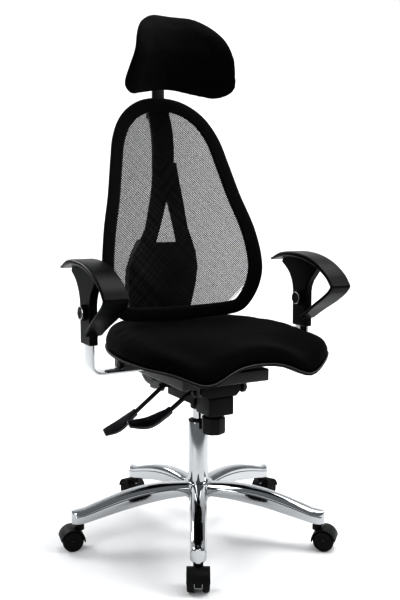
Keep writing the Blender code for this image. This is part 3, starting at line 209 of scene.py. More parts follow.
# Powder coat on steel melts into a fine orange peel, about 1 mm from crest to crest.
powder_coat, tree, shader, place = principled("black_powder_coat", "#0D0D0E", 0.0, 0.42)
peel = noise(tree, place, 900.0, 1.0)
bumped(tree, shader, peel, 0.18, 0.0003)
tree.links.new(vary(tree, peel, 0.36, 0.48), shader.inputs["Roughness"])


# %% [markdown]
# Injection-moulded nylon takes the spark-eroded grain of its mould, a matt texture of about half a
# millimetre. Where hands and sleeves rub it, the grain wears smoother, so a slow noise shifts the roughness
# as well. The shine value is low on the black parts, as their grain traps light, and higher on the polished
# paddles of the levers.

# %% Moulded plastics
def moulded(name, dark, light, low, high, grain_scale, depth, shine=0.22):
    material, tree, shader, place = principled(name, dark, 0.0, (low + high) / 2)
    shader.inputs["Specular IOR Level"].default_value = shine
    wear = noise(tree, place, 22.0, 3.0)
    bumped(tree, shader, noise(tree, place, grain_scale, 2.0), 0.25, depth)
    tree.links.new(blend_colours(tree, wear, dark, light), shader.inputs["Base Color"])
    tree.links.new(vary(tree, wear, low, high), shader.inputs["Roughness"])
    return material


black_nylon = moulded("moulded_black_nylon", "#0B0B0C", "#131314", 0.42, 0.56, 1500.0, 0.0002)
arm_plastic = moulded("moulded_grey_polypropylene", "#070708", "#0D0D0F", 0.30, 0.42, 1100.0, 0.0002, 0.12)
knob_plastic = moulded("moulded_knob_plastic", "#0E0E0F", "#161618", 0.40, 0.50, 1500.0, 0.0002)
lever_plastic = moulded("glossy_lever_plastic", "#141416", "#262629", 0.20, 0.34, 260.0, 0.0006, 0.6)
pan_plastic = moulded("seat_pan_plastic", "#3C3C3E", "#48484A", 0.38, 0.50, 1200.0, 0.0002)
tread = moulded("polyurethane_tread", "#0D0D0E", "#161617", 0.50, 0.66, 800.0, 0.0002)
print("finishes so far:", len(bpy.data.materials))


# %% [markdown]
# The upholstery is a napped stretch cloth. Its short fibres catch light at a grazing angle, which is what
# the sheen sockets do, and they lie in small patches of differing direction, so the cloth looks softly
# mottled. A knit of about 1.6 mm shows in its bump, a little coarser than the real 1 mm so that it reads
# from across a room.

# %% Cloths
def cloth(name, dark, light, knit_scale, mottle_scale, depth, sheen):
    material, tree, shader, place = principled(name, dark, 0.0, 0.92, Sheen_Weight=sheen,
                                               Sheen_Roughness=0.45)
    shader.inputs["Specular IOR Level"].default_value = 0.10
    knit = add_node(tree, "ShaderNodeTexVoronoi", {"Vector": place, "Scale": knit_scale}).outputs["Distance"]
    nap = noise(tree, place, mottle_scale, 6.0, Roughness=0.65)
    patches = add_node(tree, "ShaderNodeMapRange", {"Value": nap, "From Min": 0.35, "From Max": 0.68})
    height = add_node(tree, "ShaderNodeMath", {0: knit, 1: nap}, operation="ADD").outputs[0]
    bumped(tree, shader, height, 0.5, depth)
    tree.links.new(blend_colours(tree, patches.outputs["Result"], dark, light), shader.inputs["Base Color"])
    return material


seat_cloth = cloth("napped_seat_cloth", "#010101", "#08080A", 620.0, 170.0, 0.0008, 0.012)
head_cloth = cloth("napped_head_cloth", "#010102", "#09090A", 620.0, 150.0, 0.0006, 0.030)
border_cloth = cloth("spacer_cloth_border", "#0A0A0B", "#161618", 480.0, 240.0, 0.0005, 0.06)
net_yarn = moulded("black_polyester_yarn", "#060607", "#0C0C0D", 0.50, 0.66, 1500.0, 0.0001)
thread = moulded("black_sewing_thread", "#1A1A1C", "#242426", 0.60, 0.75, 1800.0, 0.0001)
print("materials:", sorted(m.name for m in bpy.data.materials))

# %% [markdown]
# ## Making shapes
# Most pieces are drawn as rings of points that are skinned together: a lathe turns a profile about an axis,
# and a sweep carries a section along a path. Points are measured from the swivel axis, and `make_piece`
# moves them to their place in the chair, gives them a finish and lets them ride on their rigid body.

# %% Curves
def smooth_curve(points, steps):
    """Catmull-Rom curve through points, with the given steps in each span."""
    points = [Vector(point) for point in points]
    padded = [points[0] * 2 - points[1]] + points + [points[-1] * 2 - points[-2]]
    curve = []
    for before, start, end, after in zip(padded, padded[1:], padded[2:], padded[3:]):
        for step in range(steps):
            t = step / steps
            curve.append(0.5 * (2 * start + (end - before) * t
                                + (2 * before - 5 * start + 4 * end - after) * t ** 2
                                + (3 * start - before - 3 * end + after) * t ** 3))
    curve.append(points[-1])
    return curve


def lookup(points, key):
    """Value of a smooth curve over sorted (key, value) points."""
    curve = smooth_curve([(a, b, 0.0) for a, b in points], 8)
    key = min(max(key, curve[0].x), curve[-1].x)
    for low, high in zip(curve, curve[1:]):
        if key <= high.x:
            return low.y + (high.y - low.y) * (key - low.x) / max(high.x - low.x, 1e-9)
    return curve[-1].y


def smooth_step(low, high, value):
    t = min(max((value - low) / (high - low), 0.0), 1.0)
    return t * t * (3 - 2 * t)


def mirrored_outline(shape, half_width, start, length, steps):
    """Closed outline from a half outline in shares, which runs from start down by length."""
    half = [(across * half_width, start - down * length) for across, down in shape]
    lead, tail = (-half[1][0], half[1][1]), (-half[-2][0], half[-2][1])
    curve = smooth_curve([(a, b, 0.0) for a, b in [lead] + half + [tail]], steps)
    side = [Vector((p.x, p.y)) for p in curve[steps:-steps]]
    return side + [Vector((-p.x, p.y)) for p in reversed(side[1:-1])]


def inset(outline, distance):
    """Move a closed outline inwards, square to its edge."""
    count = len(outline)
    centre = sum(outline, Vector((0.0, 0.0))) / count
    moved = []
    for index, point in enumerate(outline):
        along = (outline[(index + 1) % count] - outline[index - 1]).normalized()
        normal = Vector((along.y, -along.x))
        moved.append(point + normal * (distance if normal.dot(centre - point) > 0 else -distance))
    return moved


# %% Skins, lathes and sweeps
END_SHARE = 0.75     # size of a sweep's last ring against the one before it
CLEARANCE = 0.0003   # between pieces that touch


def skinned(rings, ends="flat"):
    """Skin a row of rings. ends is flat, dome (a fan to the middle) or loop (last ring meets the first)."""
    shape = bmesh.new()
    made = [[shape.verts.new(point) for point in ring] for ring in rings]
    pairs = list(zip(made, made[1:])) + ([(made[-1], made[0])] if ends == "loop" else [])
    for first, second in pairs:
        for index in range(len(first)):
            following = (index + 1) % len(first)
            shape.faces.new((first[index], first[following], second[following], second[index]))
    for ring in (made[0], made[-1]):
        if ends == "flat":
            shape.faces.new(ring)
        if ends == "dome":
            middle = shape.verts.new(sum((v.co for v in ring), Vector()) / len(ring))
            for index in range(len(ring)):
                shape.faces.new((ring[index], ring[(index + 1) % len(ring)], middle))
    bmesh.ops.recalc_face_normals(shape, faces=shape.faces)
    return shape


def turned(profile, sides=48):
    """Turn a closed profile of (radius, height) about Z, or one that starts and ends on the axis."""
    on_axis = profile[0][0] == 0
    inner = profile[1:-1] if on_axis else profile
    turns = [360 * i / sides for i in range(sides)]
    rings = [[Vector((x, y, z)) for x, y in arc(r, turns)] for r, z in inner]
    return skinned(rings, "dome" if on_axis else "loop")


def rounded_section(width, height, radius, steps=3):
    """Points round a rectangle with round corners."""
    radius = min(radius, width / 2 - 1e-5, height / 2 - 1e-5)
    points = []
    for x_sign, y_sign, start in ((1, -1, -90), (1, 1, 0), (-1, 1, 90), (-1, -1, 180)):
        centre = (x_sign * (width / 2 - radius), y_sign * (height / 2 - radius))
        points += arc(radius, [start + 90 * step / steps for step in range(steps + 1)], centre)
    return points


def sweep_rings(path, side, sections):
    """Rings of each section along a path; side is the width direction, the same all the way."""
    side = Vector(side).normalized()
    rings = []
    for index, point in enumerate(path):
        along = (path[min(index + 1, len(path) - 1)] - path[max(index - 1, 0)]).normalized()
        up = along.cross(side).normalized()
        rings.append([point + side * a + up * b for a, b in sections[index]])
    return rings


def closed_ends(rings, depth):
    """Round a sweep's two ends off with one smaller ring each."""
    def smaller(ring, neighbour):
        middle = sum(ring, Vector()) / len(ring)
        away = (middle - sum(neighbour, Vector()) / len(neighbour)).normalized()
        return [middle + (p - middle) * END_SHARE + away * depth for p in ring]
    return [smaller(rings[0], rings[1])] + rings + [smaller(rings[-1], rings[-2])]


def swept(path, side, section, end=None):
    """One section carried along a path; end is how far the rounded ends stand out."""
    rings = sweep_rings(path, side, [section] * len(path))
    return skinned(rings if end is None else closed_ends(rings, end))


def extruded(outline, heights):
    """Straight extrusion of an outline in (x, y)."""
    return skinned([[Vector((x, y, z)) for x, y in outline] for z in heights])


def plate(outline, sides):
    """Flat plate that faces along X, from an outline in (y, z)."""
    return skinned([[Vector((x, y, z)) for y, z in outline] for x in sides])


def plain_box(low, high):
    outline = ((low[0], low[1]), (high[0], low[1]), (high[0], high[1]), (low[0], high[1]))
    return extruded(outline, (low[2], high[2]))


def joined(*shapes):
    """Put several bmeshes into the first."""
    whole = shapes[0]
    for other in shapes[1:]:
        mesh = bpy.data.meshes.new("part")
        other.to_mesh(mesh)
        other.free()
        whole.from_mesh(mesh)
        bpy.data.meshes.remove(mesh)
    return whole


def moved(shape, matrix):
    bmesh.ops.transform(shape, matrix=matrix, verts=shape.verts)
    return shape


def pin(radius, start, end, sides=32, chamfer=0.0006):
    """Round pin between two points, with its end edges taken off."""
    start, end = Vector(start), Vector(end)
    length = (end - start).length
    shape = turned([(0, 0), (radius - chamfer, 0), (radius, chamfer), (radius, length - chamfer),
                    (radius - chamfer, length), (0, length)], sides)
    turn = Vector((0, 0, 1)).rotation_difference(end - start).to_matrix().to_4x4()
    return moved(shape, Matrix.Translation(start) @ turn)


# %% Objects
def loose_object(name, shape, material=None):
    """An object from a bmesh drawn about the swivel axis, not yet riding on anything."""
    bmesh.ops.translate(shape, verts=shape.verts, vec=AXIS)
    mesh = bpy.data.meshes.new(name)
    shape.to_mesh(mesh)
    shape.free()
    if material:
        mesh.materials.append(material)
    item = bpy.data.objects.new(name, mesh)
    bpy.context.scene.collection.objects.link(item)
    return item


def settle(item):
    """Apply every modifier, leaving one plain mesh."""
    mesh = bpy.data.meshes.new_from_object(item.evaluated_get(bpy.context.evaluated_depsgraph_get()))
    materials = list(item.data.materials)
    item.modifiers.clear()
    old = item.data
    item.data = mesh
    bpy.data.meshes.remove(old)
    if not mesh.materials:
        for material in materials:
            mesh.materials.append(material)
    return item


def modified(item, kind, **settings):
    modifier = item.modifiers.new(kind.lower(), kind)
    for key, value in settings.items():
        setattr(modifier, key, value)
    return settle(item)


def pattern(name, shape):
    """Helper object about the world's own origin, for a node tree to copy."""
    item = loose_object(name, shape)
    item.data.transform(Matrix.Translation(-AXIS))
    return item


def melted(item, voxel, iterations):
    """Melt the bodies of one mesh together, with the soft fillets of a casting."""
    modified(item, "REMESH", mode="VOXEL", voxel_size=voxel)
    modified(item, "SMOOTH", factor=0.5, iterations=iterations)


def repainted(item, material):
    item.data.materials.clear()
    item.data.materials.append(material)
    return item


def used_up(*items):
    """Remove helper objects once they have been read."""
    for item in items:
        mesh = item.data
        bpy.data.objects.remove(item)
        bpy.data.meshes.remove(mesh)


def dress(item, body, *nodes, sharp=35.0):
    """Smooth shading with real edges kept, then ride on a body and stand for CAD nodes."""
    item.data.shade_smooth()
    item.data.set_sharp_from_angle(angle=math.radians(sharp))
    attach(item, body)
    if nodes:
        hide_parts(*nodes)
    return item


def make_piece(name, shape, material, body, *nodes, sharp=35.0):
    return dress(loose_object(name, shape, material), body, *nodes, sharp=sharp)


def cut_away(item, tool_shape):
    """Boolean a bmesh drawn about the swivel axis away from an object."""
    tool = loose_object("cutter", tool_shape)
    modified(item, "BOOLEAN", object=tool, operation="DIFFERENCE", solver="EXACT")
    used_up(tool)


def rounded_copy(name, node, width, material):
    """Copy of a CAD node with its edges broken by a small radius, as moulding and tumbling leave them."""
    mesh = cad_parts[node].data.copy()
    shape = bmesh.new()
    shape.from_mesh(mesh)
    bmesh.ops.remove_doubles(shape, verts=shape.verts, dist=1e-5)
    bmesh.ops.dissolve_limit(shape, angle_limit=math.radians(1.0), verts=shape.verts, edges=shape.edges)
    bmesh.ops.translate(shape, verts=shape.verts, vec=-AXIS)
    bpy.data.meshes.remove(mesh)
    item = loose_object(name, shape, material)
    return modified(item, "BEVEL", width=width, segments=3, limit_method="ANGLE",
                    angle_limit=math.radians(38.0), harden_normals=False, use_clamp_overlap=True)


# %% [markdown]
# ## Geometry Nodes
# What repeats on the chair is placed by node trees: legs round the hub, screws along a tray, ribs under the
# seat, teeth on the knobs, stitches along a seam and the yarns of the net. Each tree ends by making its
# copies real and giving them their material. `grown` runs a tree on an empty mesh and keeps the plain
# result.

# %% Building and running a tree
def new_tree(name, **sockets):
    """A geometry tree with one named input per size, those inputs, and a maker of its nodes."""
    tree = bpy.data.node_groups.new(name, "GeometryNodeTree")
    tree.interface.new_socket("Geometry", in_out="INPUT", socket_type="NodeSocketGeometry")
    tree.interface.new_socket("Geometry", in_out="OUTPUT", socket_type="NodeSocketGeometry")
    for label, kind in sockets.items():
        tree.interface.new_socket(label.replace("_", " "), in_out="INPUT", socket_type="NodeSocket" + kind)

    def node(kind, inputs=None, **settings):
        return add_node(tree, kind, inputs, **settings).outputs[0]
    return tree, add_node(tree, "NodeGroupInput").outputs, node


def shape_of(tree, socket):
    """The mesh of an object given to a tree."""
    return add_node(tree, "GeometryNodeObjectInfo", {"Object": socket}).outputs["Geometry"]


def finish_tree(tree, geometry, material):
    """Make every copy real, give it its material and send it out."""
    real = add_node(tree, "GeometryNodeRealizeInstances", {"Geometry": geometry})
    painted = add_node(tree, "GeometryNodeSetMaterial", {"Geometry": real.outputs[0], "Material": material})
    add_node(tree, "NodeGroupOutput", {"Geometry": painted.outputs[0]})
    return tree


def grown(name, tree, **values):
    """Run a tree and keep the result as a plain mesh, drawn about the swivel axis."""
    item = bpy.data.objects.new(name, bpy.data.meshes.new(name))
    bpy.context.scene.collection.objects.link(item)
    modifier = item.modifiers.new("grow", "NODES")
    modifier.node_group = tree
    for socket in tree.interface.items_tree:
        key = socket.name.replace(" ", "_")
        if socket.in_out == "INPUT" and key in values:
            modifier[socket.identifier] = values[key]
    settle(item)
    item.data.transform(Matrix.Translation(AXIS))
    print(name, "has", len(item.data.polygons), "faces")
    return item


# %% [markdown]
# ## Star base
# The base is pressed and welded from steel tube and then chromed. Each leg arches down from the hub to a
# round tip, with an upright side, a crisp shoulder and a crowned top. One leg is swept as a mesh, and a
# node tree repeats it round the hub, which is exactly how such a base is laid out.

# %% One leg
LEG_COUNT = 5
FIRST_LEG = math.radians(-29.0)
BASE_RADIUS = 0.321
HUB_RADIUS = 0.036
HUB_TOP = 0.137
LEG_WIDTH, LEG_NARROWING = 0.042, 0.006
LEG_UNDERSIDE = 0.105
LEG_DROP = 0.043
LEG_ARCH, UNDERSIDE_ARCH, ARCH_LENGTH = 0.016, 0.007, 0.254
TIP_RADIUS = 0.018


def leg_station(reach):
    """Half-width, underside and top of a leg at a distance from the swivel axis."""
    share = min(max((reach - HUB_RADIUS) / (BASE_RADIUS - HUB_RADIUS), 0.0), 1.0)
    share = 0.65 * share + 0.35 * smooth_step(0.0, 1.0, share)
    rise = math.sin(math.pi * min(max((reach - HUB_RADIUS) / ARCH_LENGTH, 0.0), 1.0))
    drop = LEG_DROP * share
    return ((LEG_WIDTH - LEG_NARROWING * share) / 2, LEG_UNDERSIDE - drop + UNDERSIDE_ARCH * rise,
            HUB_TOP - drop + LEG_ARCH * rise)


def leg_section(half, bottom, top):
    """Upright side, shoulder groove and crowned top, as (across, height)."""
    height = top - bottom
    half_shape = [(0.90, 0.0), (0.99, 0.04), (1.0, 0.10), (1.0, 0.50), (0.995, 0.56), (0.94, 0.60),
                  (0.93, 0.63), (0.90, 0.74), (0.80, 0.87), (0.62, 0.95), (0.36, 0.99), (0.12, 1.0)]
    side = [(half * a, bottom + height * b) for a, b in half_shape]
    return side + [(-x, z) for x, z in reversed(side)]


def base_leg():
    tip = BASE_RADIUS - TIP_RADIUS
    reaches = [0.0265] + [HUB_RADIUS + (tip - HUB_RADIUS) * step / 20 for step in range(21)]
    reaches += [reach for reach, _ in arc(TIP_RADIUS, (78, 66, 54, 42, 32, 22, 14, 7, 2), (tip, 0.0))]
    rings = []
    for reach in reaches:
        half, bottom, top = leg_station(reach)
        if reach > tip:
            half = math.sqrt(max(TIP_RADIUS ** 2 - (reach - tip) ** 2, 1e-9))
        rings.append([Vector((x, -reach, z)) for x, z in leg_section(half, bottom, top)])
    return skinned(rings)


# %% Five legs round the hub
star_tree, given, node = new_tree("legs round a hub", Leg="Object", Count="Int", First_turn="Float")
hub_points = node("GeometryNodeMeshLine", {"Count": given["Count"], "Offset": (0, 0, 0)})
share = node("ShaderNodeMath", {0: node("GeometryNodeInputIndex"), 1: given["Count"]}, operation="DIVIDE")
angle = node("ShaderNodeMath", {0: share, 1: math.tau, 2: given["First turn"]}, operation="MULTIPLY_ADD")
copies = node("GeometryNodeInstanceOnPoints", {
    "Points": hub_points, "Instance": shape_of(star_tree, given["Leg"]),
    "Rotation": node("ShaderNodeCombineXYZ", {"Z": angle})})
finish_tree(star_tree, copies, chrome)

leg = pattern("one_leg", base_leg())
legs = grown("star_legs", star_tree, Leg=leg, Count=LEG_COUNT, First_turn=FIRST_LEG)
used_up(leg)
dress(legs, "base", sharp=28.0)
hub_profile = [(0.0254, 0.098), (0.033, 0.098), (0.0355, 0.100), (HUB_RADIUS, 0.104), (HUB_RADIUS, 0.134),
               (0.0352, 0.1366), (0.033, 0.1376), (0.0254, 0.1376)]
make_piece("star_hub", turned(hub_profile, 64), chrome, "base", "base_star")

# %% [markdown]
# The column is one chromed tube. A black guide bush caps it, and the gas spring's bright cylinder runs in
# the bush. Both are lathe work: a profile with rolled edges turned about the swivel axis.

# %% Column, bush and cylinder
COLUMN_RADIUS, CYLINDER_RADIUS = 0.025, 0.014
column_profile = [(0.0060, 0.0861), (0.0240, 0.0861), (COLUMN_RADIUS, 0.0871), (COLUMN_RADIUS, 0.2905),
                  (0.0246, 0.2916),
                  (0.0240, 0.2920), (0.0236, 0.2916), (0.0234, 0.2900), (0.0234, 0.0900), (0.0060, 0.0900)]
make_piece("column_sleeve", turned(column_profile, 64), chrome, "base", "column_tube")
bush_profile = [(0.0144, 0.2322), (0.0229, 0.2322), (0.0229, 0.2923), (0.0247, 0.2923), (0.0249, 0.2930),
                (0.0240, 0.2948), (0.0225, 0.2953), (0.0160, 0.2953), (0.0144, 0.2944)]
make_piece("guide_bush", turned(bush_profile, 64), black_nylon, "base", "column_bush")
cylinder_profile = [(0.0054, 0.1265), (0.0135, 0.1262), (CYLINDER_RADIUS, 0.1270), (CYLINDER_RADIUS, 0.3700),
                    (0.0120, 0.3720), (0.0005, 0.3720), (0.0005, 0.3040), (0.0110, 0.3040),
                    (0.0110, 0.1360), (0.0054, 0.1360)]
make_piece("gas_spring", turned(cylinder_profile, 64), chrome, "mechanism", "gas_cylinder")
for finish, names in ((zinc, ("piston_rod", "thrust_bearing", "tension_spring")),
                      (powder_coat, ("seat_axle", "back_axle"))):
    for name in names:
        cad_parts[name].data.materials[0] = finish

# %% [markdown]
# ## Castors
# A twin-wheel castor has a hood whose middle web carries the axle, with a wheel on each side. The hood is a
# bent strip over the wheels, its web a flat plate, and the neck a lathe-turned sleeve for the stem.
# Everything is drawn once with the stem upright on the Z axis and then carried to the end of each leg.

# %% Hood, wheel and stem shapes
WHEEL_RADIUS = 0.025
TRAIL = 0.019
HOOD_RADIUS, WEB_RADIUS = 0.0280, 0.0275
STEM_REACH = BASE_RADIUS - TIP_RADIUS - 0.001
WHEEL_INNER_FACE = 0.0083


def castor_hood():
    axle = (-TRAIL, WHEEL_RADIUS)
    bends = [-6 + 178 * step / 32 for step in range(33)]
    strip = [Vector((0.0, y, z)) for y, z in arc(HOOD_RADIUS, bends, axle)]
    cover = swept(strip, (1, 0, 0), rounded_section(0.0512, 0.0024, 0.0011, 4))
    outline = arc(WEB_RADIUS, range(-6, 173, 6), axle) + [(-TRAIL - 0.012, 0.013), (-TRAIL + 0.010, 0.011)]
    rings = [[Vector((x, axle[0] + (a - axle[0]) * s, axle[1] + (b - axle[1]) * s)) for a, b in outline]
             for x, s in ((-0.0078, 0.96), (-0.0070, 0.99), (0.0070, 0.99), (0.0078, 0.96))]
    neck = turned([(0.0054, 0.047), (0.0110, 0.047), (0.0108, 0.0575), (0.0100, 0.0592), (0.0088, 0.0597),
                   (0.0054, 0.0597)], 32)
    return joined(cover, skinned(rings), neck)


def castor_wheel():
    """Wheel about Z with its outer face up: rounded tread, dished face and raised hub."""
    profile = [(0.0034, 0.0008), (0.0235, 0.0008), (0.0246, 0.0016), (WHEEL_RADIUS, 0.0032),
               (WHEEL_RADIUS, 0.0110), (0.0246, 0.0132), (0.0234, 0.0152), (0.0214, 0.0164), (0.0196, 0.0167),
               (0.0188, 0.0163), (0.0184, 0.0150), (0.0176, 0.0146), (0.0090, 0.0146), (0.0082, 0.0150),
               (0.0078, 0.0160), (0.0068, 0.0164), (0.0034, 0.0164)]
    return turned(profile, 48)


def wheel_spoke():
    return plain_box((-0.0007, -0.0182, 0.0140), (0.0007, -0.0076, 0.0158))


# %% Spokes for the wheel's face, repeated by the same tree as the legs
spoke = pattern("one_spoke", wheel_spoke())
spokes = grown("wheel_spokes", star_tree, Leg=spoke, Count=10, First_turn=0.0)
spokes.data.transform(Matrix.Translation(-AXIS))
used_up(spoke)

# %% Five castors
for index in range(LEG_COUNT):
    turn = Matrix.Rotation(FIRST_LEG + index * math.tau / LEG_COUNT, 4, "Z")
    place = turn @ Matrix.Translation((0.0, -STEM_REACH, 0.0))
    number = index + 1
    castor = "castor_%d" % number
    make_piece("castor_cover_%d" % number, moved(castor_hood(), place), black_nylon, castor,
               "castor_hood_%d" % number)
    stem = turned([(0, 0.0408), (0.0049, 0.0412), (0.0049, 0.0601), (0.0088, 0.0601), (0.0090, 0.0606),
                   (0.0088, 0.0616), (0.0049, 0.0616), (0.0049, 0.0850), (0.0040, 0.0858), (0, 0.0858)], 32)
    make_piece("castor_pivot_%d" % number, moved(stem, place), zinc, "base", "castor_stem_%d" % number)
    axle = pin(0.0029, (-0.0228, -TRAIL, WHEEL_RADIUS), (0.0228, -TRAIL, WHEEL_RADIUS), 24)
    make_piece("castor_pin_%d" % number, moved(axle, place), powder_coat, castor, "castor_axle_%d" % number)
    for side, label in ((-1, "a"), (1, "b")):
        wheel = castor_wheel()
        wheel.from_mesh(spokes.data)
        shift = Matrix.Translation((side * WHEEL_INNER_FACE, -TRAIL, WHEEL_RADIUS))
        tip = Matrix.Rotation(math.radians(90 * side), 4, "Y")
        make_piece("castor_roller_%d%s" % (number, label), moved(wheel, place @ shift @ tip), tread,
                   castor + "_wheel_" + label, "castor_wheel_%d%s" % (number, label))
used_up(spokes)

# %% [markdown]
# ## Seat
# The seat is a moulded foam saddle: level at the back, slightly dished in the middle, and rolling down over
# two drooping thigh lobes with a shallow arch between them. It sits on a thin plastic pan, and a grey welt
# closes the joint between cloth and pan. The foam's surface is a function of place, so the same function
# can shape the pan.

# %% Seat surfaces
SEAT_SHAPE = [(0.0, 0.0), (0.412, 0.028), (0.691, 0.122), (0.877, 0.290), (0.979, 0.497), (1.0, 0.694),
              (0.914, 0.888), (0.551, 1.0), (0.0, 0.982)]
SEAT_CENTRE = Vector((0.0, -0.03))
SEAT_HALF_WIDTH, SEAT_REAR, SEAT_LENGTH = 0.243, 0.222, 0.507
CUSHION_TOP, CUSHION_FRONT_DROP = 0.534, 0.016
DISH_DEPTH, DISH_RADIUS = 0.010, 0.13
PAN_LEVEL, PAN_THICKNESS, PAN_RIM = 0.482, 0.006, 0.006
LOBE_X, LOBE_RADIUS = 0.134, 0.058
PAN_LOBE_DROP, CUSHION_LOBE_DROP = 0.032, 0.0256


def thigh_weight(x, y):
    """1 on the front edge of each thigh lobe, 0 away from them."""
    return math.exp(-((abs(x) - LOBE_X) / LOBE_RADIUS) ** 2) * smooth_step(-0.12, -0.27, y)


def pan_top(x, y):
    return PAN_LEVEL - PAN_LOBE_DROP * thigh_weight(x, y)


def cushion_top(x, y):
    dish = DISH_DEPTH * math.exp(-((x / DISH_RADIUS) ** 2 + ((y - 0.03) / DISH_RADIUS) ** 2))
    front = CUSHION_FRONT_DROP * smooth_step(0.05, -0.27, y)
    return CUSHION_TOP - dish - front - CUSHION_LOBE_DROP * thigh_weight(x, y)


def on_pan(outline, above=0.0):
    return [Vector((p.x, p.y, pan_top(p.x, p.y) + above)) for p in outline]


def scaled(outline, share, centre=SEAT_CENTRE):
    return [centre + (point - centre) * share for point in outline]


seat_outline = mirrored_outline(SEAT_SHAPE, SEAT_HALF_WIDTH, SEAT_REAR, SEAT_LENGTH, 7)
pan_outline = inset(seat_outline, -0.0025)


def seat_foam(shrink):
    """The cushion's closed skin, smaller all round by shrink."""
    lift = 0.0009 + shrink * 0.5
    rings = [on_pan(scaled(pan_outline, share), lift)
             for share in (0.15, 0.30, 0.45, 0.60, 0.72, 0.82, 0.90, 0.95)]
    for push, share in ((0.001, 0.02), (-0.0025, 0.16), (-0.0035, 0.34), (-0.0028, 0.52), (0.0, 0.68),
                        (0.005, 0.82), (0.012, 0.92), (0.022, 0.975), (0.034, 1.0)):
        rings.append([Vector((p.x, p.y, (1 - share) * (pan_top(p.x, p.y) + lift)
                              + share * (cushion_top(p.x, p.y) - shrink)))
                      for p in inset(seat_outline, push + shrink)])
    inner = inset(seat_outline, 0.034 + shrink)
    for share in (0.88, 0.76, 0.64, 0.52, 0.40, 0.28, 0.15):
        rings.append([Vector((p.x, p.y, cushion_top(p.x, p.y) - shrink)) for p in scaled(inner, share)])
    return skinned(rings, "dome")


# %% [markdown]
# Foam pushes its cover out evenly, and the cover pulls back where it is held. A short cloth simulation with
# a little pressure gives that fullness. It runs on an even remesh, no point may travel more than a few
# millimetres, and the underside that rests on the pan stays where it was.

# %% Filling a cushion
CLOTH_SETTINGS = {"quality": 4, "mass": 0.3, "tension_stiffness": 40, "compression_stiffness": 40,
                  "use_pressure": True, "uniform_pressure_force": 4.0}
CLOTH_FRAMES = 20


def filled(item, voxel, cap, free, material, name):
    """Simulate a padded cover. free(point, normal) is 0 where it is held and 1 where it may swell."""
    modified(item, "REMESH", mode="VOXEL", voxel_size=voxel, use_smooth_shade=True)
    modified(item, "SMOOTH", factor=0.5, iterations=3)
    rest = [v.co.copy() for v in item.data.vertices]
    normals = [v.normal.copy() for v in item.data.vertices]
    soft = item.modifiers.new("cover", "CLOTH")
    soft.settings.effector_weights.gravity = 0.0
    for setting, value in CLOTH_SETTINGS.items():
        setattr(soft.settings, setting, value)
    for frame_number in range(1, CLOTH_FRAMES + 1):
        bpy.context.scene.frame_set(frame_number)
    moved_mesh = item.evaluated_get(bpy.context.evaluated_depsgraph_get()).to_mesh()
    swollen = [v.co.copy() for v in moved_mesh.vertices]
    item.modifiers.clear()
    bpy.context.scene.frame_set(1)
    for vert, start, end, normal in zip(item.data.vertices, rest, swollen, normals):
        step = end - start
        if step.length > cap:
            step = step * (cap / step.length)
        vert.co = start + step * free(start - AXIS, normal)
    modified(item, "SUBSURF", levels=1, render_levels=1)
    print(name, "filled:", len(item.data.polygons), "faces")
    return repainted(item, material)


def seat_free(point, normal):
    return smooth_step(-0.2, 0.4, normal.z) * smooth_step(0.0, 0.012, point.z - pan_top(point.x, point.y))


# %% Cushion
seat = loose_object("seat_cover", seat_foam(0.0018))
filled(seat, 0.0055, 0.004, seat_free, seat_cloth, "seat cushion")
dress(seat, "seat", "seat_cushion")

# %% Pan, welt and the ribs under its front edge
pan_rim = inset(pan_outline, PAN_RIM)
pan_shares = (0.15, 0.30, 0.45, 0.60, 0.72, 0.84, 0.93)
upper = [on_pan(scaled(pan_rim, share)) for share in pan_shares]
pan_rings = [on_pan(inset(pan_outline, push), -drop) for push, drop in (
    (PAN_RIM, 0.0), (0.0018, 0.0002), (0.0004, 0.0014), (0.0, 0.0030), (0.0006, 0.0048), (0.003, 0.0058))]
lower = [on_pan(scaled(pan_rim, share), -PAN_THICKNESS) for share in reversed(pan_shares)]
make_piece("seat_shell", skinned(upper + pan_rings + lower, "dome"), black_nylon, "seat", "seat_pan")

welt_tree, given, node = new_tree("cord along an edge", Path="Object", Radius="Float", Sides="Int")
line = node("GeometryNodeMeshToCurve", {"Mesh": shape_of(welt_tree, given["Path"])})
ring = node("GeometryNodeCurvePrimitiveCircle", {"Resolution": given["Sides"], "Radius": given["Radius"]})
cord = node("GeometryNodeCurveToMesh", {"Curve": line, "Profile Curve": ring, "Fill Caps": True})
finish_tree(welt_tree, cord, pan_plastic)


def edge_object(name, points):
    """A closed loop of bare edges, for a tree to follow."""
    mesh = bpy.data.meshes.new(name)
    mesh.from_pydata([tuple(p) for p in points], [(i, (i + 1) % len(points)) for i in range(len(points))], [])
    item = bpy.data.objects.new(name, mesh)
    bpy.context.scene.collection.objects.link(item)
    return item


seam_path = edge_object("seam_path", on_pan(inset(pan_outline, 0.0006), 0.0004))
welt = grown("seat_welt", welt_tree, Path=seam_path, Radius=0.0014, Sides=8)
used_up(seam_path)
dress(welt, "seat")

row_tree, given, node = new_tree("pieces in a row", Piece="Object", Count="Int", Start="Vector",
                                 Step="Vector")
row = node("GeometryNodeMeshLine", {
    "Count": given["Count"], "Start Location": given["Start"], "Offset": given["Step"]})
repeated = node("GeometryNodeInstanceOnPoints", {
    "Points": row, "Instance": shape_of(row_tree, given["Piece"])})
finish_tree(row_tree, repeated, black_nylon)


def rowed(name, shape, count, start, step, body, material=None):
    """Repeat a small shape along a straight row."""
    one = pattern("one_" + name, shape)
    item = grown(name, row_tree, Piece=one, Count=count, Start=start, Step=step)
    used_up(one)
    if material:
        item.data.materials[0] = material
    return dress(item, body)


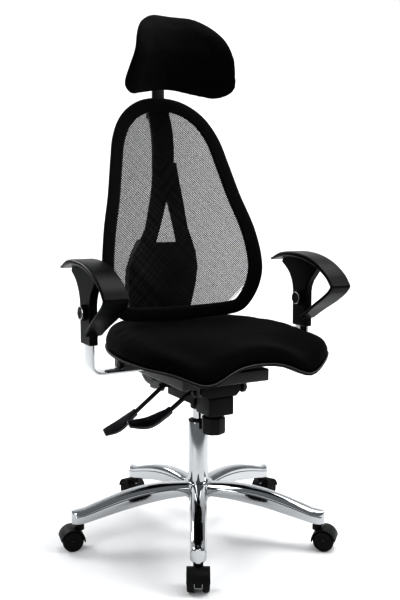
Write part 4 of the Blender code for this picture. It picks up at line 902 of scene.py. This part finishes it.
rib = plate(((-0.250, 0.4750), (-0.250, 0.4700), (-0.205, 0.4580), (-0.150, 0.4560), (-0.150, 0.4750)),
            (-0.001, 0.001))
rowed("pan_ribs", rib, 7, (-0.060, 0.0, 0.0), (0.020, 0.0, 0.0), "seat")
print("seat made")

# %% [markdown]
# ## Arms
# Each arm rest is one moulding: a broad band that leaves its rear tip, arches over as the pad, turns
# sharply at the nose and runs back under to the foot of an upright sleeve. Band and upright are drawn
# roughly and melted together by a voxel remesh and a little smoothing, which gives the generous fillets of
# a moulding. The slot for the chromed bar is cut last, so that it stays crisp.

# %% Arm rest moulding
ARM_X = 0.296
ARM_Y = -0.024
SLEEVE_BOTTOM = 0.513
ARM_TOP = 0.705
PAD_WIDTH, PAD_THICKNESS = 0.060, 0.012
SLEEVE_HALF_WIDTH, SLEEVE_HALF_DEPTH = 0.010, 0.029
SLOT_HALF_WIDTH, SLOT_HALF_DEPTH, SLOT_TOP = 0.0033, 0.0253, 0.672
KNOB_LEVEL = 0.586
BAR_LEVEL = 0.446


def arm_band():
    top = ARM_TOP - 0.006
    over = [(0.086, top - 0.018), (0.045, top - 0.005), (0.0, top), (-0.060, top - 0.005),
            (-0.115, top - 0.021), (-0.158, top - 0.046), (-0.1795, top - 0.0695)]
    under = [(-0.1795, top - 0.0725), (-0.166, top - 0.087), (-0.135, top - 0.108), (-0.090, top - 0.134),
             (-0.046, top - 0.162)]
    path = [p for run in (over, under) for p in smooth_curve([Vector((0.0, y, z)) for y, z in run], 9)]
    sections = []
    for index in range(len(path)):
        share = index / (len(path) - 1)
        width = (PAD_WIDTH * (1 - 0.25 * smooth_step(0.80, 1.0, share))
                 * (0.90 + 0.10 * smooth_step(0.0, 0.15, share)))
        thick = (PAD_THICKNESS * (0.45 + 0.55 * smooth_step(0.0, 0.12, share))
                 * (1 - 0.35 * smooth_step(0.35, 0.6, share)))
        sections.append(rounded_section(width, thick, thick * 0.42))
    return skinned(sweep_rings(path, (1, 0, 0), sections))


def arm_upright():
    front, rear, top = ARM_Y - SLEEVE_HALF_DEPTH, ARM_Y + SLEEVE_HALF_DEPTH, ARM_TOP - 0.012
    outline = [(front, SLEEVE_BOTTOM), (rear, SLEEVE_BOTTOM), (rear, 0.604), (rear + 0.003, 0.620),
               (rear + 0.008, 0.633), (rear + 0.017, 0.647), (rear + 0.028, 0.658), (rear + 0.042, 0.668),
               (rear + 0.052, 0.674), (rear + 0.046, top - 0.004), (0.0, top + 0.004),
               (front - 0.040, top - 0.004), (front - 0.052, top - 0.014), (front - 0.040, 0.664),
               (front - 0.022, 0.645), (front - 0.010, 0.632), (front - 0.003, 0.618), (front, 0.604)]
    return plate(outline, (-SLEEVE_HALF_WIDTH, SLEEVE_HALF_WIDTH))


def arm_rest(name, side):
    shift = Matrix.Translation((side * ARM_X, 0.0, 0.0))
    collar = plain_box((-SLEEVE_HALF_WIDTH, ARM_Y - SLEEVE_HALF_DEPTH, SLEEVE_BOTTOM),
                       (SLEEVE_HALF_WIDTH, ARM_Y + SLEEVE_HALF_DEPTH, SLEEVE_BOTTOM + 0.030))
    rest = loose_object(name, moved(joined(arm_band(), arm_upright(), collar), shift))
    melted(rest, 0.0017, 3)
    slot = plain_box((-SLOT_HALF_WIDTH, ARM_Y - SLOT_HALF_DEPTH, SLEEVE_BOTTOM - 0.02),
                     (SLOT_HALF_WIDTH, ARM_Y + SLOT_HALF_DEPTH, SLOT_TOP))
    cut_away(rest, moved(slot, shift))
    cut_away(rest, moved(pin(0.0044, (-0.03, ARM_Y, KNOB_LEVEL), (-0.003, ARM_Y, KNOB_LEVEL), 24), shift))
    return repainted(rest, arm_plastic)


# %% [markdown]
# The bars are flat steel, 50 by 6 mm, bent once and chromed. The hand knobs are black star knobs with a
# bright chromed ring let into the face; the small clamp knobs have a toothed rim, which a node tree builds
# from one tooth.

# %% Bars
BAR_BEND = 0.020


def arm_bar(side):
    bend = arc(BAR_BEND, range(-90, 1, 6), (ARM_X - BAR_BEND, BAR_LEVEL + BAR_BEND))
    path = [(0.1262, BAR_LEVEL), (0.20, BAR_LEVEL)] + bend + [(ARM_X, 0.55), (ARM_X, 0.6398)]
    path = [Vector((side * x, ARM_Y, z)) for x, z in path]
    return swept(path, (0, 1, 0), rounded_section(0.0498, 0.0059, 0.0012))


# %% Knobs
STUD_RADIUS = 0.0039
CLAMP_PLACE = (0.2223, ARM_Y - 0.0125, 0.461)


def star_body(radius, depth, lobes, stud):
    rings = []
    for share, height in ((0.80, 0.0), (0.94, 0.0006), (0.99, 0.0018), (1.0, depth * 0.3),
                          (1.0, depth * 0.70), (0.98, depth * 0.86), (0.90, depth * 0.96), (0.78, depth),
                          (0.60, depth), (0.56, depth - 0.0008), (0.30, depth - 0.0008)):
        ring = []
        for index in range(lobes * 12):
            angle = math.tau * index / (lobes * 12)
            reach = radius * share * (0.935 + 0.065 * math.cos(lobes * angle) * min(1.0, (share - 0.2) / 0.7))
            ring.append(Vector((reach * math.cos(angle), reach * math.sin(angle), height)))
        rings.append(ring)
    return joined(skinned(rings, "dome"), pin(STUD_RADIUS, (0, 0, -stud), (0, 0, depth / 2), 24))


tooth = ((0.0080, -0.0010), (0.0098, -0.0004), (0.0098, 0.0004), (0.0080, 0.0010))
one_tooth = pattern("one_tooth", extruded(tooth, (0.0006, 0.0074)))
teeth = grown("knob_teeth", star_tree, Leg=one_tooth, Count=20, First_turn=0.0)
teeth.data.transform(Matrix.Translation(-AXIS))
used_up(one_tooth)

for side, label in ((-1, "right"), (1, "left")):
    dress(arm_rest("arm_moulding_" + label, side), "arm_" + label, "arm_rest_" + label, sharp=50.0)
    make_piece("chromed_bar_" + label, arm_bar(side), chrome, "arm_%s_bar" % label, "arm_bar_" + label)
    face = Matrix.Translation((side * ARM_X - SLEEVE_HALF_WIDTH - CLEARANCE, ARM_Y, KNOB_LEVEL))
    face = face @ Matrix.Rotation(math.radians(-90), 4, "Y")
    knob = star_body(0.0188, 0.0100, 6, 0.0067)
    make_piece("height_knob_" + label, moved(knob, face), knob_plastic, "arm_%s_knob" % label,
               "arm_knob_" + label)
    ring = turned([(0.0132, 0.0096), (0.0150, 0.0096), (0.0158, 0.0101), (0.0161, 0.0108), (0.0156, 0.0114),
                   (0.0146, 0.0115), (0.0135, 0.0110)], 48)
    bright = make_piece("knob_ring_" + label, moved(ring, face), chrome, "arm_%s_knob" % label)
    seat_face = Matrix.Translation((side * CLAMP_PLACE[0], *CLAMP_PLACE[1:]))
    seat_face = seat_face @ Matrix.Rotation(math.radians(90 * side), 4, "Y")
    clamp = turned([(0, 0.0), (0.0080, 0.0), (0.0086, 0.0006), (0.0086, 0.0072), (0.0078, 0.0080),
                    (0, 0.0080)], 40)
    clamp = joined(clamp, pin(STUD_RADIUS, (0, 0, -0.0198), (0, 0, 0.004), 24))
    clamp.from_mesh(teeth.data)
    make_piece("clamp_knob_" + label, moved(clamp, seat_face), knob_plastic, "arm_%s_clamp" % label,
               "arm_clamp_knob_" + label)
used_up(teeth)
print("arms made")

# %% [markdown]
# ## Back
# The back is a pear-shaped ring of padded cloth with a net stretched across it. Its surface leans back with
# height and wraps forward at the sides. Ring, net, seam and stitches all take their depth from that one
# surface.

# %% Back surface
BACK_SHAPE = [(0.0, 0.0), (0.274, 0.018), (0.509, 0.079), (0.664, 0.176), (0.748, 0.299), (0.832, 0.440),
              (0.942, 0.590), (1.0, 0.739), (0.973, 0.836), (0.876, 0.924), (0.743, 0.975), (0.487, 0.993),
              (0.0, 1.0)]
BACK_PROFILE = [(0.50, 0.106), (0.60, 0.103), (0.683, 0.108), (0.77, 0.122), (0.896, 0.156), (1.003, 0.185),
                (1.06, 0.197), (1.13, 0.209)]
BACK_HALF_WIDTH, BACK_TOP, BACK_LENGTH, BACK_WRAP = 0.226, 1.100, 0.568, 0.045
BORDER = 0.034
back_outline = mirrored_outline(BACK_SHAPE, BACK_HALF_WIDTH, BACK_TOP, BACK_LENGTH, 7)


def back_depth(x, z):
    return lookup(BACK_PROFILE, z) - BACK_WRAP * (x / BACK_HALF_WIDTH) ** 2


def on_back(outline, behind):
    return [Vector((p.x, back_depth(p.x, p.y) + behind, p.y)) for p in outline]


# %% Padded border
border_section = []
for step in range(20):
    angle = math.tau * step / 20
    across = math.copysign(abs(math.cos(angle)) ** 0.75, math.cos(angle))
    high = math.copysign(abs(math.sin(angle)) ** 0.75, math.sin(angle))
    border_section.append((BORDER / 2 - across * BORDER / 2, -0.0080 * high))
loops = [on_back(inset(back_outline, across), behind) for across, behind in border_section]
border = skinned([[loop[i] for loop in loops] for i in range(len(back_outline))], "loop")
make_piece("back_border", border, border_cloth, "backrest", "back_frame")

# %% [markdown]
# The net is a diamond lattice of thin yarn. Two families of parallel yarns cross at right angles and lie at
# 45 degrees. A node tree lays out the lines, drops the points outside the window, drops what is left on to
# the curved back, lifts every second crossing so that the yarns weave over and under, and gives each line
# its thickness. The mesh size is 4.9 mm from corner to corner, drawn coarser than a real net of about 3 mm,
# so that the holes still read.

# %% Net tree
net_tree, given, node = new_tree("woven net", Window="Object", Surface="Object", Pitch="Float", Yarn="Float",
                                 Lines="Int", Middle="Vector")
width = node("ShaderNodeMath", {0: given["Lines"], 1: given["Pitch"]}, operation="MULTIPLY")
start = node("ShaderNodeMath", {0: width, 1: -0.5}, operation="MULTIPLY")
along, across = [node("GeometryNodeMeshLine", {
    "Count": given["Lines"], "Start Location": node("ShaderNodeCombineXYZ", {axis: start}),
    "Offset": node("ShaderNodeCombineXYZ", {axis: given["Pitch"]})}) for axis in "XZ"]
field = node("GeometryNodeInstanceOnPoints", {"Points": across, "Instance": along})
yarns = node("GeometryNodeRealizeInstances", {"Geometry": field})
both = add_node(net_tree, "GeometryNodeJoinGeometry")


def cast(target):
    """Rays from every point straight back on to a target."""
    return add_node(net_tree, "GeometryNodeRaycast", {
        "Target Geometry": target, "Ray Direction": (0, 1, 0), "Ray Length": 5.0}).outputs


for turn, lift in ((45.0, 1.0), (-45.0, -1.0)):
    family = node("GeometryNodeTransform", {
        "Geometry": yarns, "Translation": given["Middle"], "Rotation": (0.0, math.radians(turn), 0.0)})
    seen = cast(shape_of(net_tree, given["Window"]))["Is Hit"]
    outside = node("FunctionNodeBooleanMath", {0: seen}, operation="NOT")
    kept = node("GeometryNodeDeleteGeometry", {"Geometry": family, "Selection": outside})
    odd = node("ShaderNodeMath", {0: node("GeometryNodeInputIndex"), 1: 2.0}, operation="MODULO")
    swing = node("ShaderNodeMath", {0: odd, 1: 2.0 * lift, 2: -1.0 * lift}, operation="MULTIPLY_ADD")
    depth = node("ShaderNodeMath", {0: swing, 1: given["Yarn"]}, operation="MULTIPLY")
    laid = node("GeometryNodeSetPosition", {
        "Geometry": kept, "Position": cast(shape_of(net_tree, given["Surface"]))["Hit Position"],
        "Offset": node("ShaderNodeCombineXYZ", {"Y": depth})})
    profile = node("GeometryNodeCurvePrimitiveCircle", {"Resolution": 3, "Radius": given["Yarn"]})
    line = node("GeometryNodeMeshToCurve", {"Mesh": laid})
    solid = node("GeometryNodeCurveToMesh", {"Curve": line, "Profile Curve": profile, "Fill Caps": True})
    net_tree.links.new(solid, both.inputs[0])
crisp = node("GeometryNodeSetShadeSmooth", {"Geometry": both.outputs[0], "Shade Smooth": False})
finish_tree(net_tree, crisp, net_yarn)

# %% Net
window_edge = inset(back_outline, BORDER - 0.008)
window_object = pattern("net_window", skinned([
    [Vector((p.x, y, p.y)) for p in window_edge] for y in (-1.0, -1.001)]))
NET_CENTRE = Vector((0.0, 0.80))
wide = [Vector((p.x * 1.05, p.y)) for p in back_outline]
surface_shape = bmesh.new()
rows = [[surface_shape.verts.new(p) for p in on_back(scaled(wide, step / 10, NET_CENTRE), 0.0)]
        for step in range(10, 0, -1)]
for first, second in zip(rows, rows[1:]):
    for i in range(len(first)):
        j = (i + 1) % len(first)
        surface_shape.faces.new((first[i], first[j], second[j], second[i]))
surface_shape.faces.new(rows[-1])
surface_object = pattern("net_surface", surface_shape)
NET_PITCH, YARN_RADIUS = 0.0049 / math.sqrt(2), 0.00092
net = grown("back_net", net_tree, Window=window_object, Surface=surface_object, Pitch=NET_PITCH,
            Yarn=YARN_RADIUS, Lines=150, Middle=(0.0, -1.6, NET_CENTRE.y))
used_up(window_object, surface_object)
dress(net, "backrest", "back_mesh")
print("net triangles:", sum(len(p.vertices) - 2 for p in net.data.polygons))

# %% [markdown]
# A cord of yarn finishes the net where it meets the border, and a row of lock stitches holds the border's
# seam. One tree walks along a path and sets a stitch at every step, turned to follow the seam.

# %% Edge cord and stitches
cord_path = edge_object("cord_path", on_back(inset(back_outline, BORDER - 0.0004), -0.0016))
edge_cord = grown("net_edge_cord", welt_tree, Path=cord_path, Radius=0.0017, Sides=8)
used_up(cord_path)
edge_cord.data.materials[0] = net_yarn
dress(edge_cord, "backrest")

stitch_tree, given, node = new_tree("stitches along a seam", Path="Object", Stitch="Object", Spacing="Float")
line = node("GeometryNodeMeshToCurve", {"Mesh": shape_of(stitch_tree, given["Path"])})
steps = add_node(stitch_tree, "GeometryNodeCurveToPoints", {"Curve": line, "Length": given["Spacing"]},
                 mode="LENGTH").outputs
sewn = node("GeometryNodeInstanceOnPoints", {
    "Points": steps["Points"], "Instance": shape_of(stitch_tree, given["Stitch"]),
    "Rotation": steps["Rotation"]})
finish_tree(stitch_tree, sewn, thread)

stitch = pattern("one_stitch", pin(0.00042, (0, 0, -0.0021), (0, 0, 0.0021), 6, 0.0002))
stitch_path = edge_object("stitch_path", on_back(inset(back_outline, BORDER - 0.0052), -0.0077))
stitches = grown("border_stitches", stitch_tree, Path=stitch_path, Stitch=stitch, Spacing=0.0058)
used_up(stitch, stitch_path)
dress(stitches, "backrest")

# %% [markdown]
# Behind the net stand the lumbar plate with its triangular window and the upright that slides on it. Both
# are moulded, so their CAD shape only needs its edges broken. The flat bent bar that carries them starts as
# a swept strip with a yoke and two cheeks, which are melted together as a weld would join them.

# %% Plate and upright
dress(rounded_copy("plate_moulding", "lumbar_plate", 0.0012, black_nylon), "back_arm", "lumbar_plate")
dress(rounded_copy("upright_moulding", "back_spine", 0.0014, black_nylon), "backrest", "back_spine")


# %% Bent bar that carries the back
SPINE_PROFILE = [(0.50, 0.214), (0.552, 0.205), (0.610, 0.194), (0.658, 0.1845), (0.728, 0.171),
                 (0.800, 0.167), (0.8635, 0.169), (0.934, 0.179), (1.00, 0.1885), (1.04, 0.200),
                 (1.064, 0.2125), (1.10, 0.213)]
BACK_AXLE = (0.074, 0.372)
low = [(0.128, 0.362), (0.190, 0.352), (0.246, 0.354), (0.276, 0.384), (0.280, 0.440), (0.262, 0.500)]
high = [(lookup(SPINE_PROFILE, z) + 0.0166 + slack, z)
        for z, slack in ((0.575, 0.007), (0.625, 0.002), (0.720, 0.001))]
carrier_path = smooth_curve([Vector((0.0, y, z)) for y, z in low + high], 10)
bar = swept(carrier_path, (1, 0, 0), rounded_section(0.0592, 0.0192, 0.005, 4), 0.0004)
yoke = plain_box((-0.069, 0.110, 0.356), (0.069, 0.136, 0.378))
cheek = arc(0.014, range(90, 271, 12), BACK_AXLE) + [(0.114, 0.3595), (0.114, 0.3775)]
cheeks = [plate(cheek, (side * 0.061, side * 0.069)) for side in (-1, 1)]
carrier = loose_object("back_bar", joined(bar, yoke, *cheeks))
melted(carrier, 0.0018, 4)
cut_away(carrier, pin(0.0064, (-0.1, *BACK_AXLE), (0.1, *BACK_AXLE), 32))
repainted(carrier, powder_coat)
dress(carrier, "back_arm", "back_carrier", sharp=50.0)
print("back made")

# %% [markdown]
# ## Headrest
# The head cushion is a wide wrapped pad: it bulges forward at the nape, turns back at the top and its wings
# come forward round the head. It has the same foam and cover as the seat, on a moulded shell with two lugs
# that hinge on a flat bar.

# %% Head cushion
HEAD_SHAPE = [(0.0, 0.0), (0.327, 0.010), (0.536, 0.075), (0.693, 0.174), (0.804, 0.313), (0.882, 0.512),
              (0.967, 0.731), (1.0, 0.861), (0.935, 0.955), (0.752, 1.0), (0.556, 0.970), (0.0, 0.900)]
HEAD_PROFILE = [(1.08, 0.150), (1.115, 0.139), (1.145, 0.123), (1.19, 0.101), (1.23, 0.105), (1.27, 0.118),
                (1.31, 0.127)]
HEAD_CENTRE = Vector((0.0, 1.19))
HEAD_HALF_WIDTH, HEAD_TOP, HEAD_HEIGHT, HEAD_WRAP = 0.153, 1.295, 0.201, 0.078
PIVOT = (0.217, 1.165)
head_outline = mirrored_outline(HEAD_SHAPE, HEAD_HALF_WIDTH, HEAD_TOP, HEAD_HEIGHT, 7)


def head_depth(x, z):
    return lookup(HEAD_PROFILE, z) - HEAD_WRAP * (x / HEAD_HALF_WIDTH) ** 2


def on_head(outline, behind):
    return [Vector((p.x, head_depth(p.x, p.y) + behind, p.y)) for p in outline]


def head_foam(shrink):
    rings = [on_head(scaled(inset(head_outline, 0.030), share, HEAD_CENTRE), shrink)
             for share in (0.12, 0.26, 0.40, 0.54, 0.68, 0.82, 0.94)]
    for across, behind in ((0.026, 0.0012), (0.018, 0.0030), (0.011, 0.0058), (0.005, 0.0100),
                           (0.0015, 0.0150), (0.0, 0.0205), (0.0010, 0.0265), (0.0040, 0.0315),
                           (0.0090, 0.0345)):
        rings.append(on_head(inset(head_outline, across + shrink), behind + shrink * (1 - behind / 0.018)))
    rings += [on_head(scaled(inset(head_outline, 0.012), share, HEAD_CENTRE), 0.0348)
              for share in (0.92, 0.78, 0.64, 0.50, 0.36, 0.22, 0.10)]
    return skinned(rings, "dome")


def head_free(point, normal):
    return smooth_step(0.2, -0.4, normal.y)


head = loose_object("head_cover", head_foam(0.0006))
filled(head, 0.0045, 0.003, head_free, head_cloth, "head cushion")
dress(head, "headrest", "headrest_pad")

# %% Shell, lugs and bar
front = [on_head(scaled(inset(head_outline, 0.0104), share, HEAD_CENTRE), 0.0360)
         for share in (0.10, 0.25, 0.40, 0.55, 0.70, 0.85, 0.97)]
edge_rings = [on_head(inset(head_outline, across), behind) for across, behind in (
    (0.0104, 0.0362), (0.0100, 0.0372), (0.0106, 0.0392), (0.0125, 0.0410), (0.0150, 0.0418))]
rear = [on_head(scaled(inset(head_outline, 0.0145), share, HEAD_CENTRE), 0.0419)
        for share in (0.95, 0.80, 0.65, 0.50, 0.35, 0.20, 0.10)]
lug = arc(0.011, range(-90, 91, 15), PIVOT)
lug += [(head_depth(0.0, PIVOT[1] + rise) + 0.0390, PIVOT[1] + rise) for rise in (0.02, -0.02)]
shell = joined(skinned(front + edge_rings + rear, "dome"),
               *[plate(lug, (side * 0.019, side * 0.025)) for side in (-1, 1)])
make_piece("head_shell", shell, black_nylon, "headrest", "headrest_shell")
post_path = [Vector((0.0, PIVOT[0], 0.9004 + 0.0265 * step)) for step in range(11)]
post = joined(swept(post_path, (1, 0, 0), rounded_section(0.0338, 0.0078, 0.0018, 4), 0.0004),
              *[pin(radius, (-reach, *PIVOT), (reach, *PIVOT), 32) for radius, reach in (
                  (0.010, 0.018), (0.004, 0.026))])
make_piece("head_post", post, powder_coat, "headrest_post", "headrest_bar")
print("headrest made")

# %% [markdown]
# ## Mechanism and levers
# Under the seat sits the tilt mechanism: a tapered housing, the tension block with its octagonal knob, and
# the carrier that holds the seat and both arm bars. Castings and mouldings get small radii; the screws are
# repeated by the row tree.

# %% Housing, block and carrier
for name, node_name, width, finish, body in (
        ("housing_casting", "mechanism_housing", 0.0016, black_nylon, "mechanism"),
        ("block_moulding", "tension_block", 0.0012, black_nylon, "mechanism"),
        ("seat_bracket", "seat_carrier", 0.0014, powder_coat, "seat")):
    dress(rounded_copy(name, node_name, width, finish), body, node_name)
button = turned([(0, -0.0010), (0.0052, -0.0010), (0.0052, 0.0), (0.0047, 0.0014), (0.0032, 0.0022),
                 (0.0018, 0.0024), (0.0018, 0.0010), (0, 0.0010)], 24)
moved(button, Matrix.Rotation(math.radians(180), 4, "X"))
for side, label in ((-1, "right"), (1, "left")):
    rowed("bracket_screws_" + label, button.copy(), 2, (side * 0.105, -0.100, 0.4070), (0.0, 0.205, 0.0),
          "seat", zinc)
    rowed("bar_screws_" + label, button.copy(), 2, (side * 0.140, ARM_Y, 0.4430), (side * 0.030, 0.0, 0.0),
          "arm_%s_bar" % label, zinc)
button.free()


# %% Tension knob
TENSION_Y = -0.076     # the spring's axis, ahead of the column
EIGHTHS = range(0, 360, 45)
knob = loose_object("tension_hand_knob", skinned([
    [Vector((x, y, z)) for x, y in arc(radius, EIGHTHS, (0.0, TENSION_Y))] for radius, z in (
        (0.0240, 0.2772), (0.0284, 0.2800), (0.0294, 0.2850), (0.0294, 0.3180), (0.0276, 0.3198))]),
    knob_plastic)
modified(knob, "BEVEL", width=0.0016, segments=3, limit_method="ANGLE", angle_limit=math.radians(20))
stem = joined(*[pin(radius, (0, TENSION_Y, low), (0, TENSION_Y, high), sides)
                for radius, low, high, sides in ((0.0209, 0.316, 0.3276, 48), (0.0059, 0.324, 0.366, 32))])
bmesh.ops.translate(stem, verts=stem.verts, vec=AXIS)
stem.from_mesh(knob.data)
stem.to_mesh(knob.data)
stem.free()
dress(knob, "tension_adjuster", "tension_knob")


# %% Levers
def make_lever(name, y, rod_end, grip_end, droop):
    rod_end, grip_end = Vector((rod_end[0], y, rod_end[1])), Vector((grip_end[0], y, grip_end[1]))
    path = smooth_curve([Vector((-0.0375, y, 0.390)), Vector((-0.0675, y, 0.385)), rod_end], 10)
    bar = swept(path, (0, 1, 0), arc(0.0055, range(0, 360, 18)), 0.0)
    make_piece(name + "_bar", bar, powder_coat, name, name + "_rod")
    along = (path[-1] - path[-2]).normalized()
    start = rod_end + along * CLEARANCE
    collar = start + along * 0.012
    middle = (collar + grip_end) / 2 - Vector((0, 0, droop))
    path = [start] + smooth_curve([collar, middle, grip_end], 12)
    sections = []
    for index in range(len(path)):
        share = index / (len(path) - 1)
        width = 0.018 + 0.015 * math.sin(math.pi * 0.92 * share)
        thick = 0.018 - 0.011 * share
        sections.append(rounded_section(width, thick, thick * 0.46, 5))
    paddle = skinned(closed_ends(sweep_rings(path, (0, 0.88, 0.47), sections), 0.0006))
    make_piece(name + "_paddle", paddle, lever_plastic, name, name + "_grip", sharp=50.0)


make_lever("height_lever", -0.082, (-0.118, 0.352), (-0.226, 0.331), 0.010)
make_lever("tilt_lever", 0.040, (-0.152, 0.324), (-0.236, 0.282), 0.006)
print("mechanism made")
